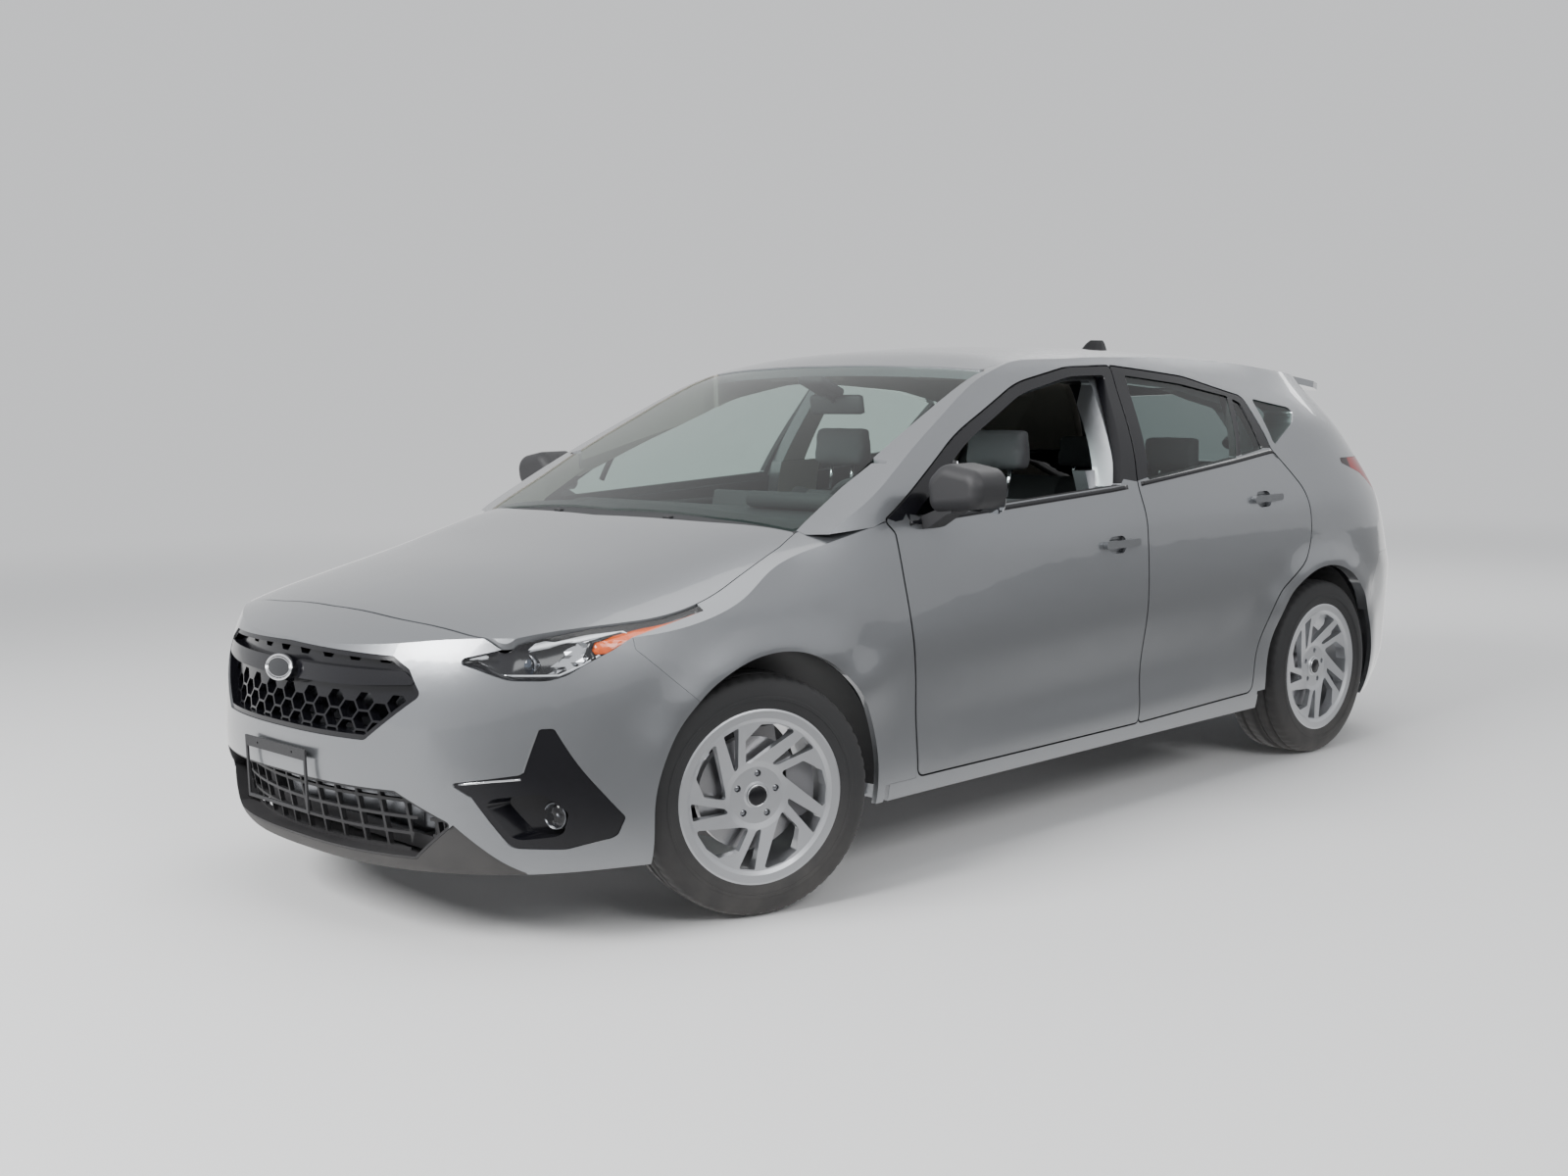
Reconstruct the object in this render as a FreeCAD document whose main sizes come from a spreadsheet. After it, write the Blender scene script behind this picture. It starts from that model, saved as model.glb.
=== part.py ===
# Five-door hatchback car: body panels, doors, glass, running gear and cabin as separate pieces.
# Millimetres. The front faces -Y, the car's left side is +X, and Z = 0 is the floor under the tyres.
import FreeCAD, Part
import math
import os
import re

V = FreeCAD.Vector
os.makedirs("parts", exist_ok=True)
doc = FreeCAD.newDocument("hatchback")

# Driving dimensions
SIZES = [
    ("body_length", 4475, "bumper to bumper"),
    ("body_width", 1780, "over the wheel arch lips, mirrors folded out of the figure"),
    ("roof_height", 1480, "floor to the top of the roof"),
    ("wheelbase", 2670, "front axle to rear axle"),
    ("front_overhang", 905, "nose to front axle"),
    ("track", 1540, "between the middles of the tyre treads"),
    ("tyre_radius", 316, "loaded radius of a 205/50 R17 tyre"),
    ("tyre_width", 205, "section width"),
    ("rim_radius", 229, "over the rim flange"),
    ("rim_width", 196, "over both flanges"),
    ("arch_radius", 372, "wheel arch opening"),
    ("arch_flare", 13, "how far the arch lip stands out"),
    ("sill_height", 222, "underside of the sill"),
    ("door_bottom", 275, "lower shut line of the doors"),
    ("belt_front", 979, "lower edge of the side glass at the front corner"),
    ("belt_rise", 133, "rise of that edge to the rear quarter glass"),
    ("waist_height", 640, "where the side is widest"),
    ("belt_inset", 46, "how far the side leans in at the belt"),
    ("rail_height", 1385, "height of the roof rail"),
    ("rail_inset", 238, "how far the side leans in at the roof rail"),
    ("hood_rear_height", 1000, "rear edge of the bonnet on the centreline"),
    ("hood_front_height", 815, "front edge of the bonnet on the centreline"),
    ("panel_gap", 5.5, "shut line round what opens"),
    ("seam", 0.8, "joint between fixed panels"),
    ("seat_play", 0.3, "play where one piece seats on another"),
    ("skin", 18, "outer panel with its flange"),
    ("door_flange", 30, "outer part of a door that laps the frame"),
    ("wall", 86, "whole door or side wall"),
    ("flange_lap", 26, "how far the door skin laps the frame"),
    ("frame_flange", 40, "outer part of the side frame, round the doors"),
    ("pillar_depth", 108, "inner face of the upper pillars below the skin"),
    ("ring_depth", 100, "outer face of the lower door frame below the skin"),
    ("ring_thickness", 52, "lower door frame"),
    ("glass", 5, "side glass"),
    ("glass_inset", 5, "side glass below the frame's face"),
    ("glass_play", 0.3, "play of the glass in its seal"),
    ("roof_thickness", 34, "roof panel with its lining"),
    ("hood_thickness", 24, "bonnet skin with its frame"),
    ("screen_thickness", 6, "windscreen"),
    ("floor_height", 205, "underside of the floor pan"),
    ("floor_thickness", 24, "floor pan with its carpet"),
    ("cargo_height", 600, "load floor behind the rear seat"),
    ("hub_radius", 74, "wheel hub and bearing flange"),
    ("mount_face", 48, "wheel's mounting face outboard of the tyre's middle"),
    ("disc_radius", 148, "front brake disc"),
    ("disc_thickness", 24, "brake disc"),
    ("lug_circle", 114.3, "pitch circle of the five wheel nuts"),
    ("lug_hole", 9, "radius of the seats of the wheel nuts"),
    ("kingpin_offset", 70, "steering axis inboard of the tyre's middle"),
    ("strut_inset", 95, "damper inboard of the steering axis, clear of the tyre"),
    ("steer_rest", 16, "how far the front wheels are turned as it stands, in degrees"),
    ("mirror_height", 1068, "middle of the door mirror"),
    ("plate_width", 312, "number plate bracket"),
    ("plate_height", 162, "number plate bracket"),
    ("plate_holes", 178, "between the bracket's two screw holes"),
    ("plate_hole", 3.25, "radius of those holes"),
    ("seat_width", 486, "front seat cushion"),
    ("seat_offset", 365, "front seat's middle from the centreline"),
]

sheet = doc.addObject("Spreadsheet::Sheet", "sizes")
for row, (alias, value, note) in enumerate(SIZES, start=1):
    sheet.set(f"A{row}", alias)
    sheet.set(f"B{row}", str(value))
    sheet.set(f"C{row}", note)
    sheet.setAlias(f"B{row}", alias)
doc.recompute()
ALIASES = {alias for alias, value, note in SIZES}


class Sizes:
    """Reads a size from the sheet by its name."""

    def __getattr__(self, name):
        return float(sheet.get(name))


d = Sizes()

# Stations along the car that everything else is placed from
half = d.body_width / 2
nose = -d.body_length / 2
tail = d.body_length / 2
front_axle = nose + d.front_overhang
rear_axle = front_axle + d.wheelbase
wheel_x = d.track / 2


def front(y):
    """A station measured from the front axle, rearwards."""
    return front_axle + y


def rear(y):
    """A station measured from the rear axle, rearwards."""
    return rear_axle + y


def mid(share):
    """A station at a share of the wheelbase behind the front axle."""
    return front_axle + share * d.wheelbase


# Curves and outlines


def smooth(knots):
    """A monotone cubic curve through (station, value) knots, flat beyond its ends."""
    xs = [k[0] for k in knots]
    ys = [k[1] for k in knots]
    n = len(xs)
    steps = [(ys[i + 1] - ys[i]) / (xs[i + 1] - xs[i]) for i in range(n - 1)]
    slopes = [0.0] * n
    for i in range(1, n - 1):
        if steps[i - 1] * steps[i] > 0:
            w1 = 2 * (xs[i + 1] - xs[i]) + xs[i] - xs[i - 1]
            w2 = xs[i + 1] - xs[i] + 2 * (xs[i] - xs[i - 1])
            slopes[i] = (w1 + w2) / (w1 / steps[i - 1] + w2 / steps[i])

    def value(x):
        if x <= xs[0]:
            return ys[0]
        if x >= xs[-1]:
            return ys[-1]
        i = max(k for k in range(n - 1) if xs[k] <= x)
        span = xs[i + 1] - xs[i]
        t = (x - xs[i]) / span
        a = (1 + 2 * t) * (1 - t) ** 2 * ys[i] + t * (1 - t) ** 2 * span * slopes[i]
        return a + t * t * (3 - 2 * t) * ys[i + 1] + t * t * (t - 1) * span * slopes[i + 1]

    return value


def rounded(points, grow=0.0):
    """Edges in a plane through corners (a, b, radius), grown outwards by grow."""
    n = len(points)
    area = sum(
        points[i][0] * points[(i + 1) % n][1] - points[(i + 1) % n][0] * points[i][1]
        for i in range(n)
    )
    turn = 1 if area > 0 else -1
    corners = []
    for i in range(n):
        (xa, ya, _), (xb, yb, radius), (xc, yc, _) = points[i - 1], points[i], points[(i + 1) % n]
        u1 = V(xb - xa, yb - ya).normalize()
        u2 = V(xc - xb, yc - yb).normalize()
        n1, n2 = V(u1.y, -u1.x) * turn, V(u2.y, -u2.x) * turn
        shift = (n1 + n2) * (grow / (1 + n1.dot(n2)))
        convex = (u1.x * u2.y - u1.y * u2.x) * turn > 0
        radius = max(radius + grow if convex else radius - grow, 0.0)
        corners.append((V(xb, yb) + shift, radius, u1, u2))
    cuts = []
    for i, (p, radius, u1, u2) in enumerate(corners):
        angle = u1.getAngle(u2)
        room = min((p - corners[i - 1][0]).Length, (corners[(i + 1) % n][0] - p).Length) * 0.49
        reach = min(radius * math.tan(angle / 2), room)
        if reach < 0.3 or angle < 0.004:
            cuts.append((p, None, p))
            continue
        radius = reach / math.tan(angle / 2)
        centre_way = (u2 - u1).normalize()
        middle = p + centre_way * (radius / math.cos(angle / 2) - radius)
        cuts.append((p - u1 * reach, middle, p + u2 * reach))
    return cuts


def wire_in(points, place, grow=0.0):
    """A closed wire of lines and arcs through rounded corners; place puts a plane point in space."""
    cuts = rounded(points, grow)
    edges = []
    for i, (start, middle, end) in enumerate(cuts):
        if middle is not None:
            edges.append(Part.Arc(place(start), place(middle), place(end)).toShape())
        following = cuts[(i + 1) % len(cuts)][0]
        if (following - end).Length > 0.01:
            edges.append(Part.makeLine(place(end), place(following)))
    return Part.Wire(edges)


def side_prism(points, low, high, grow=0.0, slant=0.0):
    """The outline (y, z, radius) in side view, from x = low to x = high.

    With a slant the cut runs rearwards as it goes outwards, and is true to the outline at the skin.
    """

    def place(p):
        return V(low, p.x - slant * (skin_guide(p.y) - low), p.y)

    face = Part.Face(wire_in(points, place, grow))
    return face.extrude(V(high - low, slant * (high - low), 0))


def plan_prism(points, low, high, grow=0.0):
    """The outline (x, y, radius) in plan view, from z = low to z = high."""
    face = Part.Face(wire_in(points, lambda p: V(p.x, p.y, low), grow))
    return face.extrude(V(0, 0, high - low))


def end_prism(points, low, high, grow=0.0):
    """The outline (x, z, radius) in end view, from y = low to y = high."""
    face = Part.Face(wire_in(points, lambda p: V(p.x, low, p.y), grow))
    return face.extrude(V(0, high - low, 0))


def box(x0, x1, y0, y1, z0, z1):
    return Part.makeBox(x1 - x0, y1 - y0, z1 - z0, V(x0, y0, z0))


def tube(a, b, radius):
    """A round bar from point a to point b."""
    return Part.makeCylinder(radius, (b - a).Length, a, b - a)


def mirrored(shape):
    """The same piece on the car's right side."""
    return shape.mirror(V(0, 0, 0), V(1, 0, 0))


def both(shape):
    """A piece that crosses the centreline, from its left half."""
    return shape.fuse(mirrored(shape))


SLIVER = 15000.0


def whole(shape):
    """The shape's solids as one shape, without slivers."""
    solids = [s for s in shape.Solids if s.Volume > SLIVER]
    return solids[0] if len(solids) == 1 else Part.makeCompound(solids)


# Where the skin is at each height, for the slant of the door cuts
skin_guide = smooth(
    [
        (d.sill_height, half - 34),
        (d.waist_height, half - 6),
        (d.belt_front + 60, half - 46),
        (d.rail_height, half - 238),
    ]
)

# Body side: lines that run along the car, each a height and a half width by station.
# Between them the side is a smooth curve from the floor to the roof rail.
belt_knots = [
    (front(0), d.belt_front - 66),
    (front(240), d.belt_front - 28),
    (front(452), d.belt_front),
    (mid(0.553), d.belt_front + 0.36 * d.belt_rise),
    (mid(0.815), d.belt_front + 0.8 * d.belt_rise),
    (rear(-226), d.belt_front + d.belt_rise),
    (rear(0), d.belt_front + 1.2 * d.belt_rise),
]
belt_height = smooth(belt_knots)

side_lines = [
    (
        [(front(0), d.sill_height - 110), (rear(0), d.sill_height - 110)],
        [(front(0), half - 66), (rear(0), half - 66)],
    ),
    ([(front(0), d.sill_height), (rear(0), d.sill_height)], [(front(0), half - 34), (rear(0), half - 34)]),
    (
        [(front(0), d.sill_height + 75), (rear(0), d.sill_height + 95)],
        [(front(0), half - 22), (mid(0.5), half - 18), (rear(0), half - 20)],
    ),
    (
        [(front(0), d.sill_height + 190), (rear(0), d.sill_height + 225)],
        [(front(0), half - 18), (mid(0.5), half - 25), (rear(0), half - 18)],
    ),
    (
        [(front(0), d.waist_height - 20), (rear(0), d.waist_height + 40)],
        [(front(0), half - 12), (mid(0.5), half - 6), (rear(0), half - 8)],
    ),
    (
        [(front(0), d.waist_height + 175), (mid(0.5), d.waist_height + 220), (rear(0), d.waist_height + 270)],
        [(front(0), half - 30), (mid(0.5), half - 15), (rear(0), half - 20)],
    ),
    (
        belt_knots,
        [
            (front(0), half - 92),
            (front(452), half - d.belt_inset),
            (mid(0.6), half - d.belt_inset + 4),
            (rear(0), half - 88),
        ],
    ),
    (
        [(front(0), d.rail_height), (rear(0), d.rail_height)],
        [
            (front(0), half - d.rail_inset - 100),
            (front(1050), half - d.rail_inset),
            (mid(0.65), half - d.rail_inset + 16),
            (rear(0), half - d.rail_inset - 30),
        ],
    ),
    (
        [(front(0), d.roof_height + 80), (rear(0), d.roof_height + 80)],
        [
            (front(0), half - d.rail_inset - 230),
            (mid(0.65), half - d.rail_inset - 90),
            (rear(0), half - d.rail_inset - 150),
        ],
    ),
]
side_lines = [(smooth(heights), smooth(widths)) for heights, widths in side_lines]

# End profiles on the centreline: how far the nose and the tail reach at each height
nose_reach = smooth(
    [
        (100, 780),
        (165, 805),
        (215, 868),
        (330, 893),
        (450, 905),
        (530, 900),
        (640, 886),
        (735, 856),
        (800, 812),
        (900, 760),
        (1600, 700),
    ]
)
tail_reach = smooth(
    [
        (110, 800),
        (200, 836),
        (330, 890),
        (520, 900),
        (640, 893),
        (700, 862),
        (900, 812),
        (1000, 752),
        (1200, 610),
        (1340, 505),
        (1420, 470),
        (1600, 420),
    ]
)
nose_roundness = smooth([(150, 2.55), (600, 2.42), (900, 2.35), (1600, 2.2)])
tail_roundness = smooth([(150, 3.1), (700, 3.3), (1100, 2.6), (1330, 2.3), (1600, 2.2)])


def side_width(y, z):
    """Half width of the side at station y and height z, without the arch lips."""
    return smooth([(height(y), width(y)) for height, width in side_lines])(z)


def arch_lip(y, z):
    """How far the lip round each wheel arch stands out there."""
    lip = 0.0
    for axle in (front_axle, rear_axle):
        away = math.hypot(y - axle, z - d.tyre_radius) - d.arch_radius - 6
        lip += d.arch_flare * math.exp(-((away / 52) ** 2))
    return lip


FRONT_STEPS, SIDE_STEPS, REAR_STEPS, LEVELS = 16, 18, 15, 27
hull_bottom = d.sill_height - 110
hull_top = d.roof_height + 80


def hull_row(z, inset):
    """Points round the left half of the body at height z, from the nose to the tail."""
    row = []
    for i in range(FRONT_STEPS):
        angle = math.pi / 2 * i / FRONT_STEPS
        wide = side_width(front_axle, z) - inset
        long = nose_reach(z) * d.front_overhang / 905 - inset
        n = nose_roundness(z)
        r = (abs(math.sin(angle) / wide) ** n + abs(math.cos(angle) / long) ** n) ** (-1 / n)
        x, y = r * math.sin(angle), front_axle - r * math.cos(angle)
        row.append(V(x + arch_lip(y, z) * math.sin(angle), y, z))
    for i in range(SIDE_STEPS + 1):
        y = front_axle + d.wheelbase * i / SIDE_STEPS
        row.append(V(side_width(y, z) + arch_lip(y, z) - inset, y, z))
    for i in range(1, REAR_STEPS + 1):
        angle = math.pi / 2 * (1 - i / REAR_STEPS)
        wide = side_width(rear_axle, z) - inset
        long = tail_reach(z) * (tail - rear_axle) / 900 - inset
        n = tail_roundness(z)
        r = (abs(math.sin(angle) / wide) ** n + abs(math.cos(angle) / long) ** n) ** (-1 / n)
        x, y = r * math.sin(angle), rear_axle + r * math.cos(angle)
        row.append(V(x + arch_lip(y, z) * math.sin(angle), y, z))
    row[0].x = row[-1].x = 0.0
    return row


def hull(inset=0.0):
    """The left half of the body's volume, from the sills to above the roof, moved in by inset."""
    rows = [hull_row(hull_bottom + (hull_top - hull_bottom) * j / LEVELS, inset) for j in range(LEVELS + 1)]
    surface = Part.BSplineSurface()
    surface.interpolate(rows)
    skin = surface.toShape()
    corners = [rows[0][0], rows[0][-1], rows[-1][-1], rows[-1][0]]
    low, high, ahead, behind = None, None, None, None
    for edge in skin.Edges:
        ends = [v.Point for v in edge.Vertexes]
        if all(abs(p.z - hull_bottom) < 0.1 for p in ends):
            low = edge
        elif all(abs(p.z - hull_top) < 0.1 for p in ends):
            high = edge
        elif ends[0].y < 0:
            ahead = edge
        else:
            behind = edge
    low_line = Part.makeLine(corners[0], corners[1])
    high_line = Part.makeLine(corners[3], corners[2])

    def cap(edges, normal, at):
        face = Part.Face(Part.Plane(at, normal), Part.Wire(Part.__sortEdges__(edges)))
        if not face.isValid():
            face.validate()
        return face

    faces = [
        skin,
        cap([low, low_line], V(0, 0, 1), corners[0]),
        cap([high, high_line], V(0, 0, 1), corners[3]),
        cap([ahead, low_line, behind, high_line], V(1, 0, 0), corners[0]),
    ]
    solid = Part.Solid(Part.Shell(faces))
    if solid.Volume < 0:
        solid.reverse()
    return solid


# Top surfaces: a centreline profile, swept back and rounded down towards the sides
hood_line = smooth(
    [
        (nose - 40, d.hood_front_height - 160),
        (nose + 40, d.hood_front_height - 82),
        (nose + 95, d.hood_front_height - 42),
        (nose + 175, d.hood_front_height),
        (nose + 430, d.hood_front_height + 68),
        (nose + 740, d.hood_rear_height - 62),
        (nose + 1040, d.hood_rear_height),
        (nose + 1400, d.hood_rear_height + 50),
    ]
)
hood_crown = smooth([(nose, 70), (nose + 400, 62), (nose + 900, 22), (nose + 1300, 8)])
hood_shoulder = smooth([(nose, 25), (nose + 600, 34), (nose + 1100, 26), (nose + 1400, 20)])


def hood_top(x, y):
    across = x / (half - 150)
    return hood_line(y - 60 * across**2) - hood_crown(y) * across**2 - hood_shoulder(y) * across**6


screen_foot = front(150)
screen_foot_height = d.hood_rear_height + 5
header = front(1032)
header_height = d.roof_height - 64
roof_line = smooth(
    [
        (screen_foot - 300, screen_foot_height - 152),
        (screen_foot, screen_foot_height),
        (screen_foot + 440, (screen_foot_height + header_height) / 2 + 17),
        (header, header_height),
        (header + 170, d.roof_height - 22),
        (mid(0.6), d.roof_height),
        (mid(0.68), d.roof_height),
        (mid(0.87), d.roof_height - 16),
        (rear(-40), d.roof_height - 42),
        (rear(260), d.roof_height - 82),
        (rear(520), d.roof_height - 122),
        (rear(980), d.roof_height - 200),
    ]
)
roof_crown = smooth(
    [(header - 900, 8), (header - 60, 12), (header + 500, 50), (rear(0), 50), (rear(500), 36)]
)
SCREEN_SWEEP = 92


def roof_top(x, y):
    across = x / (half - d.rail_inset)
    sweep = smooth([(header + 100, SCREEN_SWEEP), (header + 900, 10)])(y)
    return roof_line(y - sweep * across**2) - roof_crown(y) * across**2


def top_face(height, y0, y1, steps):
    """A smooth face of that height over the left half from y0 to y1, a little past the centreline."""
    across = [-60, 0, 60, 130, 220, 320, 420, 520, 600, 670, 740, 800, 860, 920]
    rows = [
        [V(x, y0 + (y1 - y0) * i / steps, height(x, y0 + (y1 - y0) * i / steps)) for x in across]
        for i in range(steps + 1)
    ]
    surface = Part.BSplineSurface()
    surface.interpolate(rows)
    return surface.toShape()


hood_face = top_face(hood_top, nose - 40, front(560), 28)
roof_face = top_face(roof_top, screen_foot - 240, rear(980), 40)
left_side = box(0, 1200, -3000, 3000, 0, 2000)


def below(face, drop=0.0, depth=1700.0):
    """The space under a top face, from drop below it downwards, on the left side."""
    lowered = face.translated(V(0, 0, -drop)) if drop else face
    return lowered.extrude(V(0, 0, -depth)).common(left_side)


hull_outer = hull()
hull_skin = hull(d.skin)

# Shut lines in side view: (y, z, corner radius)
gap = d.panel_gap
seam_b = [
    (mid(0.5835) - 3, d.door_bottom, 0),
    (mid(0.597), d.waist_height + 90, 420),
    (mid(0.5985), d.waist_height + 285, 300),
    (mid(0.589), belt_height(mid(0.589)) + 6, 160),
    (mid(0.629), d.rail_height + 18, 0),
]


def shifted(points, dy):
    return [(y + dy, z, r) for y, z, r in points]


seam_front = shifted(seam_b, -gap / 2)
seam_rear = shifted(seam_b, gap / 2)
front_door_line = (
    [(front(530), d.door_bottom, 22)]
    + [(seam_b[0][0] - gap / 2, seam_b[0][1], 14)]
    + shifted(seam_b[1:4], -gap / 2)
    + [(seam_b[4][0] - gap / 2, seam_b[4][1], 10)]
    + [
        (front(1462), d.rail_height + 15, 500),
        (front(1182), d.rail_height - 33, 600),
        (front(832), d.rail_height - 172, 900),
        (front(447), d.belt_front + 12, 8),
        (front(478), d.belt_front - 22, 30),
        (front(502), d.waist_height + 130, 300),
        (front(524), d.waist_height - 100, 500),
    ]
)
rear_door_line = (
    [(seam_b[0][0] + gap / 2, seam_b[0][1], 14)]
    + [(rear(-466), d.door_bottom + 12, 30)]
    + [(rear(-440), d.tyre_radius + 105, 260)]
    + [(rear(-335), d.tyre_radius + 290, 260)]
    + [(rear(-98), d.waist_height + 105, 240)]
    + [(rear(-95), d.waist_height + 290, 200)]
    + [(rear(-262), belt_height(rear(-262)) + 4, 40)]
    + [(rear(-282), d.rail_height - 92, 30)]
    + [(rear(-600), d.rail_height - 20, 700)]
    + [(seam_b[4][0] + gap / 2, seam_b[4][1], 10)]
    + shifted(seam_b[3:0:-1], gap / 2)
)


def under_belt(y, drop=0.0):
    return belt_height(y) - drop


frame_bar = 30
front_window = [
    (front(548), under_belt(front(548)) + 6, 8),
    (mid(0.559), under_belt(mid(0.559)) + 6, 8),
    (seam_b[4][0] - 58, d.rail_height - 10, 8),
    (front(1452), d.rail_height - 12, 500),
    (front(1182), d.rail_height - 62, 600),
    (front(850), d.rail_height - 198, 900),
]
rear_window = [
    (mid(0.611), under_belt(mid(0.611)) + 6, 8),
    (rear(-487), under_belt(rear(-487)) + 6, 8),
    (rear(-372), d.rail_height - 88, 8),
    (rear(-640), d.rail_height - 42, 700),
    (seam_b[4][0] + 52, d.rail_height - 12, 8),
]
rear_quarter_light = [
    (rear(-466), under_belt(rear(-466)) + 8, 8),
    (rear(-312), under_belt(rear(-312)) + 12, 8),
    (rear(-318), d.rail_height - 112, 8),
    (rear(-352), d.rail_height - 96, 8),
]
quarter_window = [
    (rear(-232), under_belt(rear(-232)) + 10, 14),
    (rear(-62), under_belt(rear(-62)) + 62, 40),
    (rear(-2), d.rail_height - 138, 30),
    (rear(-226), d.rail_height - 98, 14),
]

# Bonnet, windscreen and roof in plan view: (x, y, corner radius), left half with the centreline first
hood_edge = [
    (-20, nose + 172, 0),
    (300, nose + 182, 900),
    (560, nose + 226, 250),
    (640, nose + 262, 60),
    (half - 72, front(-235), 500),
    (half - 132, front(130), 120),
    (half - 162, front(214), 14),
    (440, front(136), 900),
    (-20, front(98), 0),
]
screen_edge = [
    (-20, header - 3, 0),
    (300, header + 13, 900),
    (half - d.rail_inset - 22, header + 67, 30),
    (half - d.rail_inset - 22, header + 20, 0),
    (half - 170, front(232), 30),
    (440, front(196), 900),
    (-20, front(164), 0),
]
roof_edge = [
    (-20, header, 0),
    (300, header + 16, 900),
    (half - d.rail_inset - 34, header + 70, 20),
    (half - d.rail_inset - 34, mid(0.65), 2500),
    (half - d.rail_inset - 76, rear(176), 20),
    (300, rear(188), 900),
    (-20, rear(192), 0),
]

pieces = {}
SLANT = 0.2


def keep(name, shape):
    """Adds a surface-built piece to the document under its own name."""
    feature = doc.addObject("Part::Feature", name)
    feature.Shape = shape
    feature.Label = name
    feature.Placement = FreeCAD.Placement()
    pieces[name] = feature


def keep_pair(name, shape):
    keep(name + "_left", shape)
    keep(name + "_right", mirrored(shape))


def pair(shape):
    return Part.makeCompound([shape, mirrored(shape)])


def door_cut(points, grow=0.0):
    return side_prism(points, 250, 1000, grow, SLANT)


def slab(solid, prism, thickness):
    """The stretch of a solid's outer skin inside a prism, thickened inwards."""
    skin = solid.Faces[0].common(prism)
    return skin.extrude(V(-thickness, -SLANT * thickness, 0))


hull_frame = hull(d.frame_flange)
hull_pillar = hull(d.pillar_depth)
hull_ring = hull(d.ring_depth)
hull_ring_inner = hull_ring.translated(V(-d.ring_thickness, 0, 0))
hull_glass = hull(d.glass_inset)
roof_space = below(roof_face)

# Doors: an outer part that laps the frame, and under the belt a deeper inner part


def door(outline, windows, inner_outline, handle):
    outer = slab(hull_outer, door_cut(outline), d.door_flange)
    start = d.door_flange - 10
    hull_sunk = hull_outer.translated(V(-start, -SLANT * start, 0))
    inner = slab(hull_sunk, door_cut(inner_outline, -d.flange_lap), d.wall - start)
    shape = outer.fuse(inner)
    for window in windows:
        shape = shape.cut(door_cut(window))
    y, z, skin_x = handle
    cup = [(y - 62, z - 30, 26), (y + 30, z - 30, 26), (y + 30, z + 24, 26), (y - 62, z + 24, 26)]
    grip = [(y - 92, z - 12, 11), (y + 84, z - 12, 11), (y + 84, z + 12, 11), (y - 92, z + 12, 11)]
    reach = [(y - 66, z - 16, 0), (y + 52, z - 16, 0), (y + 52, z + 16, 0), (y - 66, z + 16, 0)]
    shape = shape.cut(side_prism(cup, skin_x - 14, skin_x + 40))
    bar = side_prism(grip, skin_x - 8, skin_x + 17).cut(side_prism(reach, skin_x - 9, skin_x + 5))
    return whole(shape.fuse(bar))


def side_glass(windows):
    return Part.makeCompound([slab(hull_glass, door_cut(w, -d.glass_play), d.glass) for w in windows])


front_inner_line = front_door_line[:2] + seam_front[1:3]
front_inner_line += [
    (seam_front[2][0], under_belt(seam_front[2][0]) + 8, 0),
    (front(470), under_belt(front(470)) + 8, 0),
]
front_inner_line += front_door_line[-3:]
rear_inner_line = rear_door_line[:7]
rear_inner_line += [(seam_rear[2][0], under_belt(seam_rear[2][0]) + 8, 0)] + rear_door_line[-2:]
keep_pair("door_front", door(front_door_line, [front_window], front_inner_line, (121, 856, 875.5)))
keep_pair(
    "door_rear",
    door(rear_door_line, [rear_window, rear_quarter_light], rear_inner_line, (966, 950, 863)),
)
keep("door_glass_front_right", mirrored(side_glass([front_window])))
keep_pair("door_glass_rear", side_glass([rear_window, rear_quarter_light]))

# Side frame: the visible flange round the doors, upper pillars, and a deeper ring under the belt
frame_line = [
    (front(418), d.sill_height, 20),
    (rear(-420), d.sill_height, 20),
    (rear(-420), d.sill_height + 60, 0),
    (rear(1000), d.sill_height + 60, 0),
    (rear(1000), d.roof_height + 60, 0),
    (front(226), d.roof_height + 60, 0),
    (front(226), d.belt_front - 14, 0),
    (front(400), d.belt_front - 2, 0),
    (front(441), d.belt_front + 12, 8),
    (front(472), d.belt_front - 22, 30),
    (front(496), d.waist_height + 130, 300),
    (front(518), d.waist_height - 100, 500),
    (front(524), d.sill_height + 43, 10),
    (front(418), d.sill_height + 43, 0),
]
bumper_rear_top = 700
tailgate_line = [
    (-20, bumper_rear_top + 8, 0),
    (500, bumper_rear_top + 8, 60),
    (560, bumper_rear_top + 150, 60),
    (590, 905, 60),
    (626, 1085, 120),
    (540, d.rail_height - 75, 120),
    (500, d.roof_height + 60, 0),
    (-20, d.roof_height + 60, 0),
]
tail_lamp_line = [
    (rear(112), 1066, 10),
    (rear(330), 1004, 60),
    (rear(520), 912, 30),
    (rear(900), 912, 0),
    (rear(900), 1052, 0),
]
bumper_rear_line = [
    (rear(120), d.sill_height - 60, 0),
    (rear(1000), d.sill_height - 60, 0),
    (rear(1000), bumper_rear_top, 0),
    (rear(430), bumper_rear_top, 40),
    (rear(352), bumper_rear_top - 120, 40),
    (rear(300), d.tyre_radius + 60, 0),
]


def arch(axle, radius, low=300, high=1000):
    """The space of a wheel arch: a cylinder, open down to the floor."""
    across = Part.makeCylinder(radius, high - low, V(low, axle, d.tyre_radius), V(1, 0, 0))
    return across.fuse(box(low, high, axle - radius, axle + radius, -10, d.tyre_radius))


frame_prism = side_prism(frame_line, 300, 1000)
tailgate_hole = end_prism(tailgate_line, rear(120), rear(1000), gap)
flange_ring = hull_outer.cut(hull_frame).common(frame_prism)
flange_ring = flange_ring.cut(door_cut(front_door_line, gap)).cut(door_cut(rear_door_line, gap))
foot_space = box(
    half - 190,
    1000,
    front(226),
    front(600),
    d.belt_front - 60,
    d.belt_front + 160,
).common(frame_prism)
pillar_foot = hull_outer.common(foot_space.cut(door_cut(front_door_line, gap)))

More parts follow.
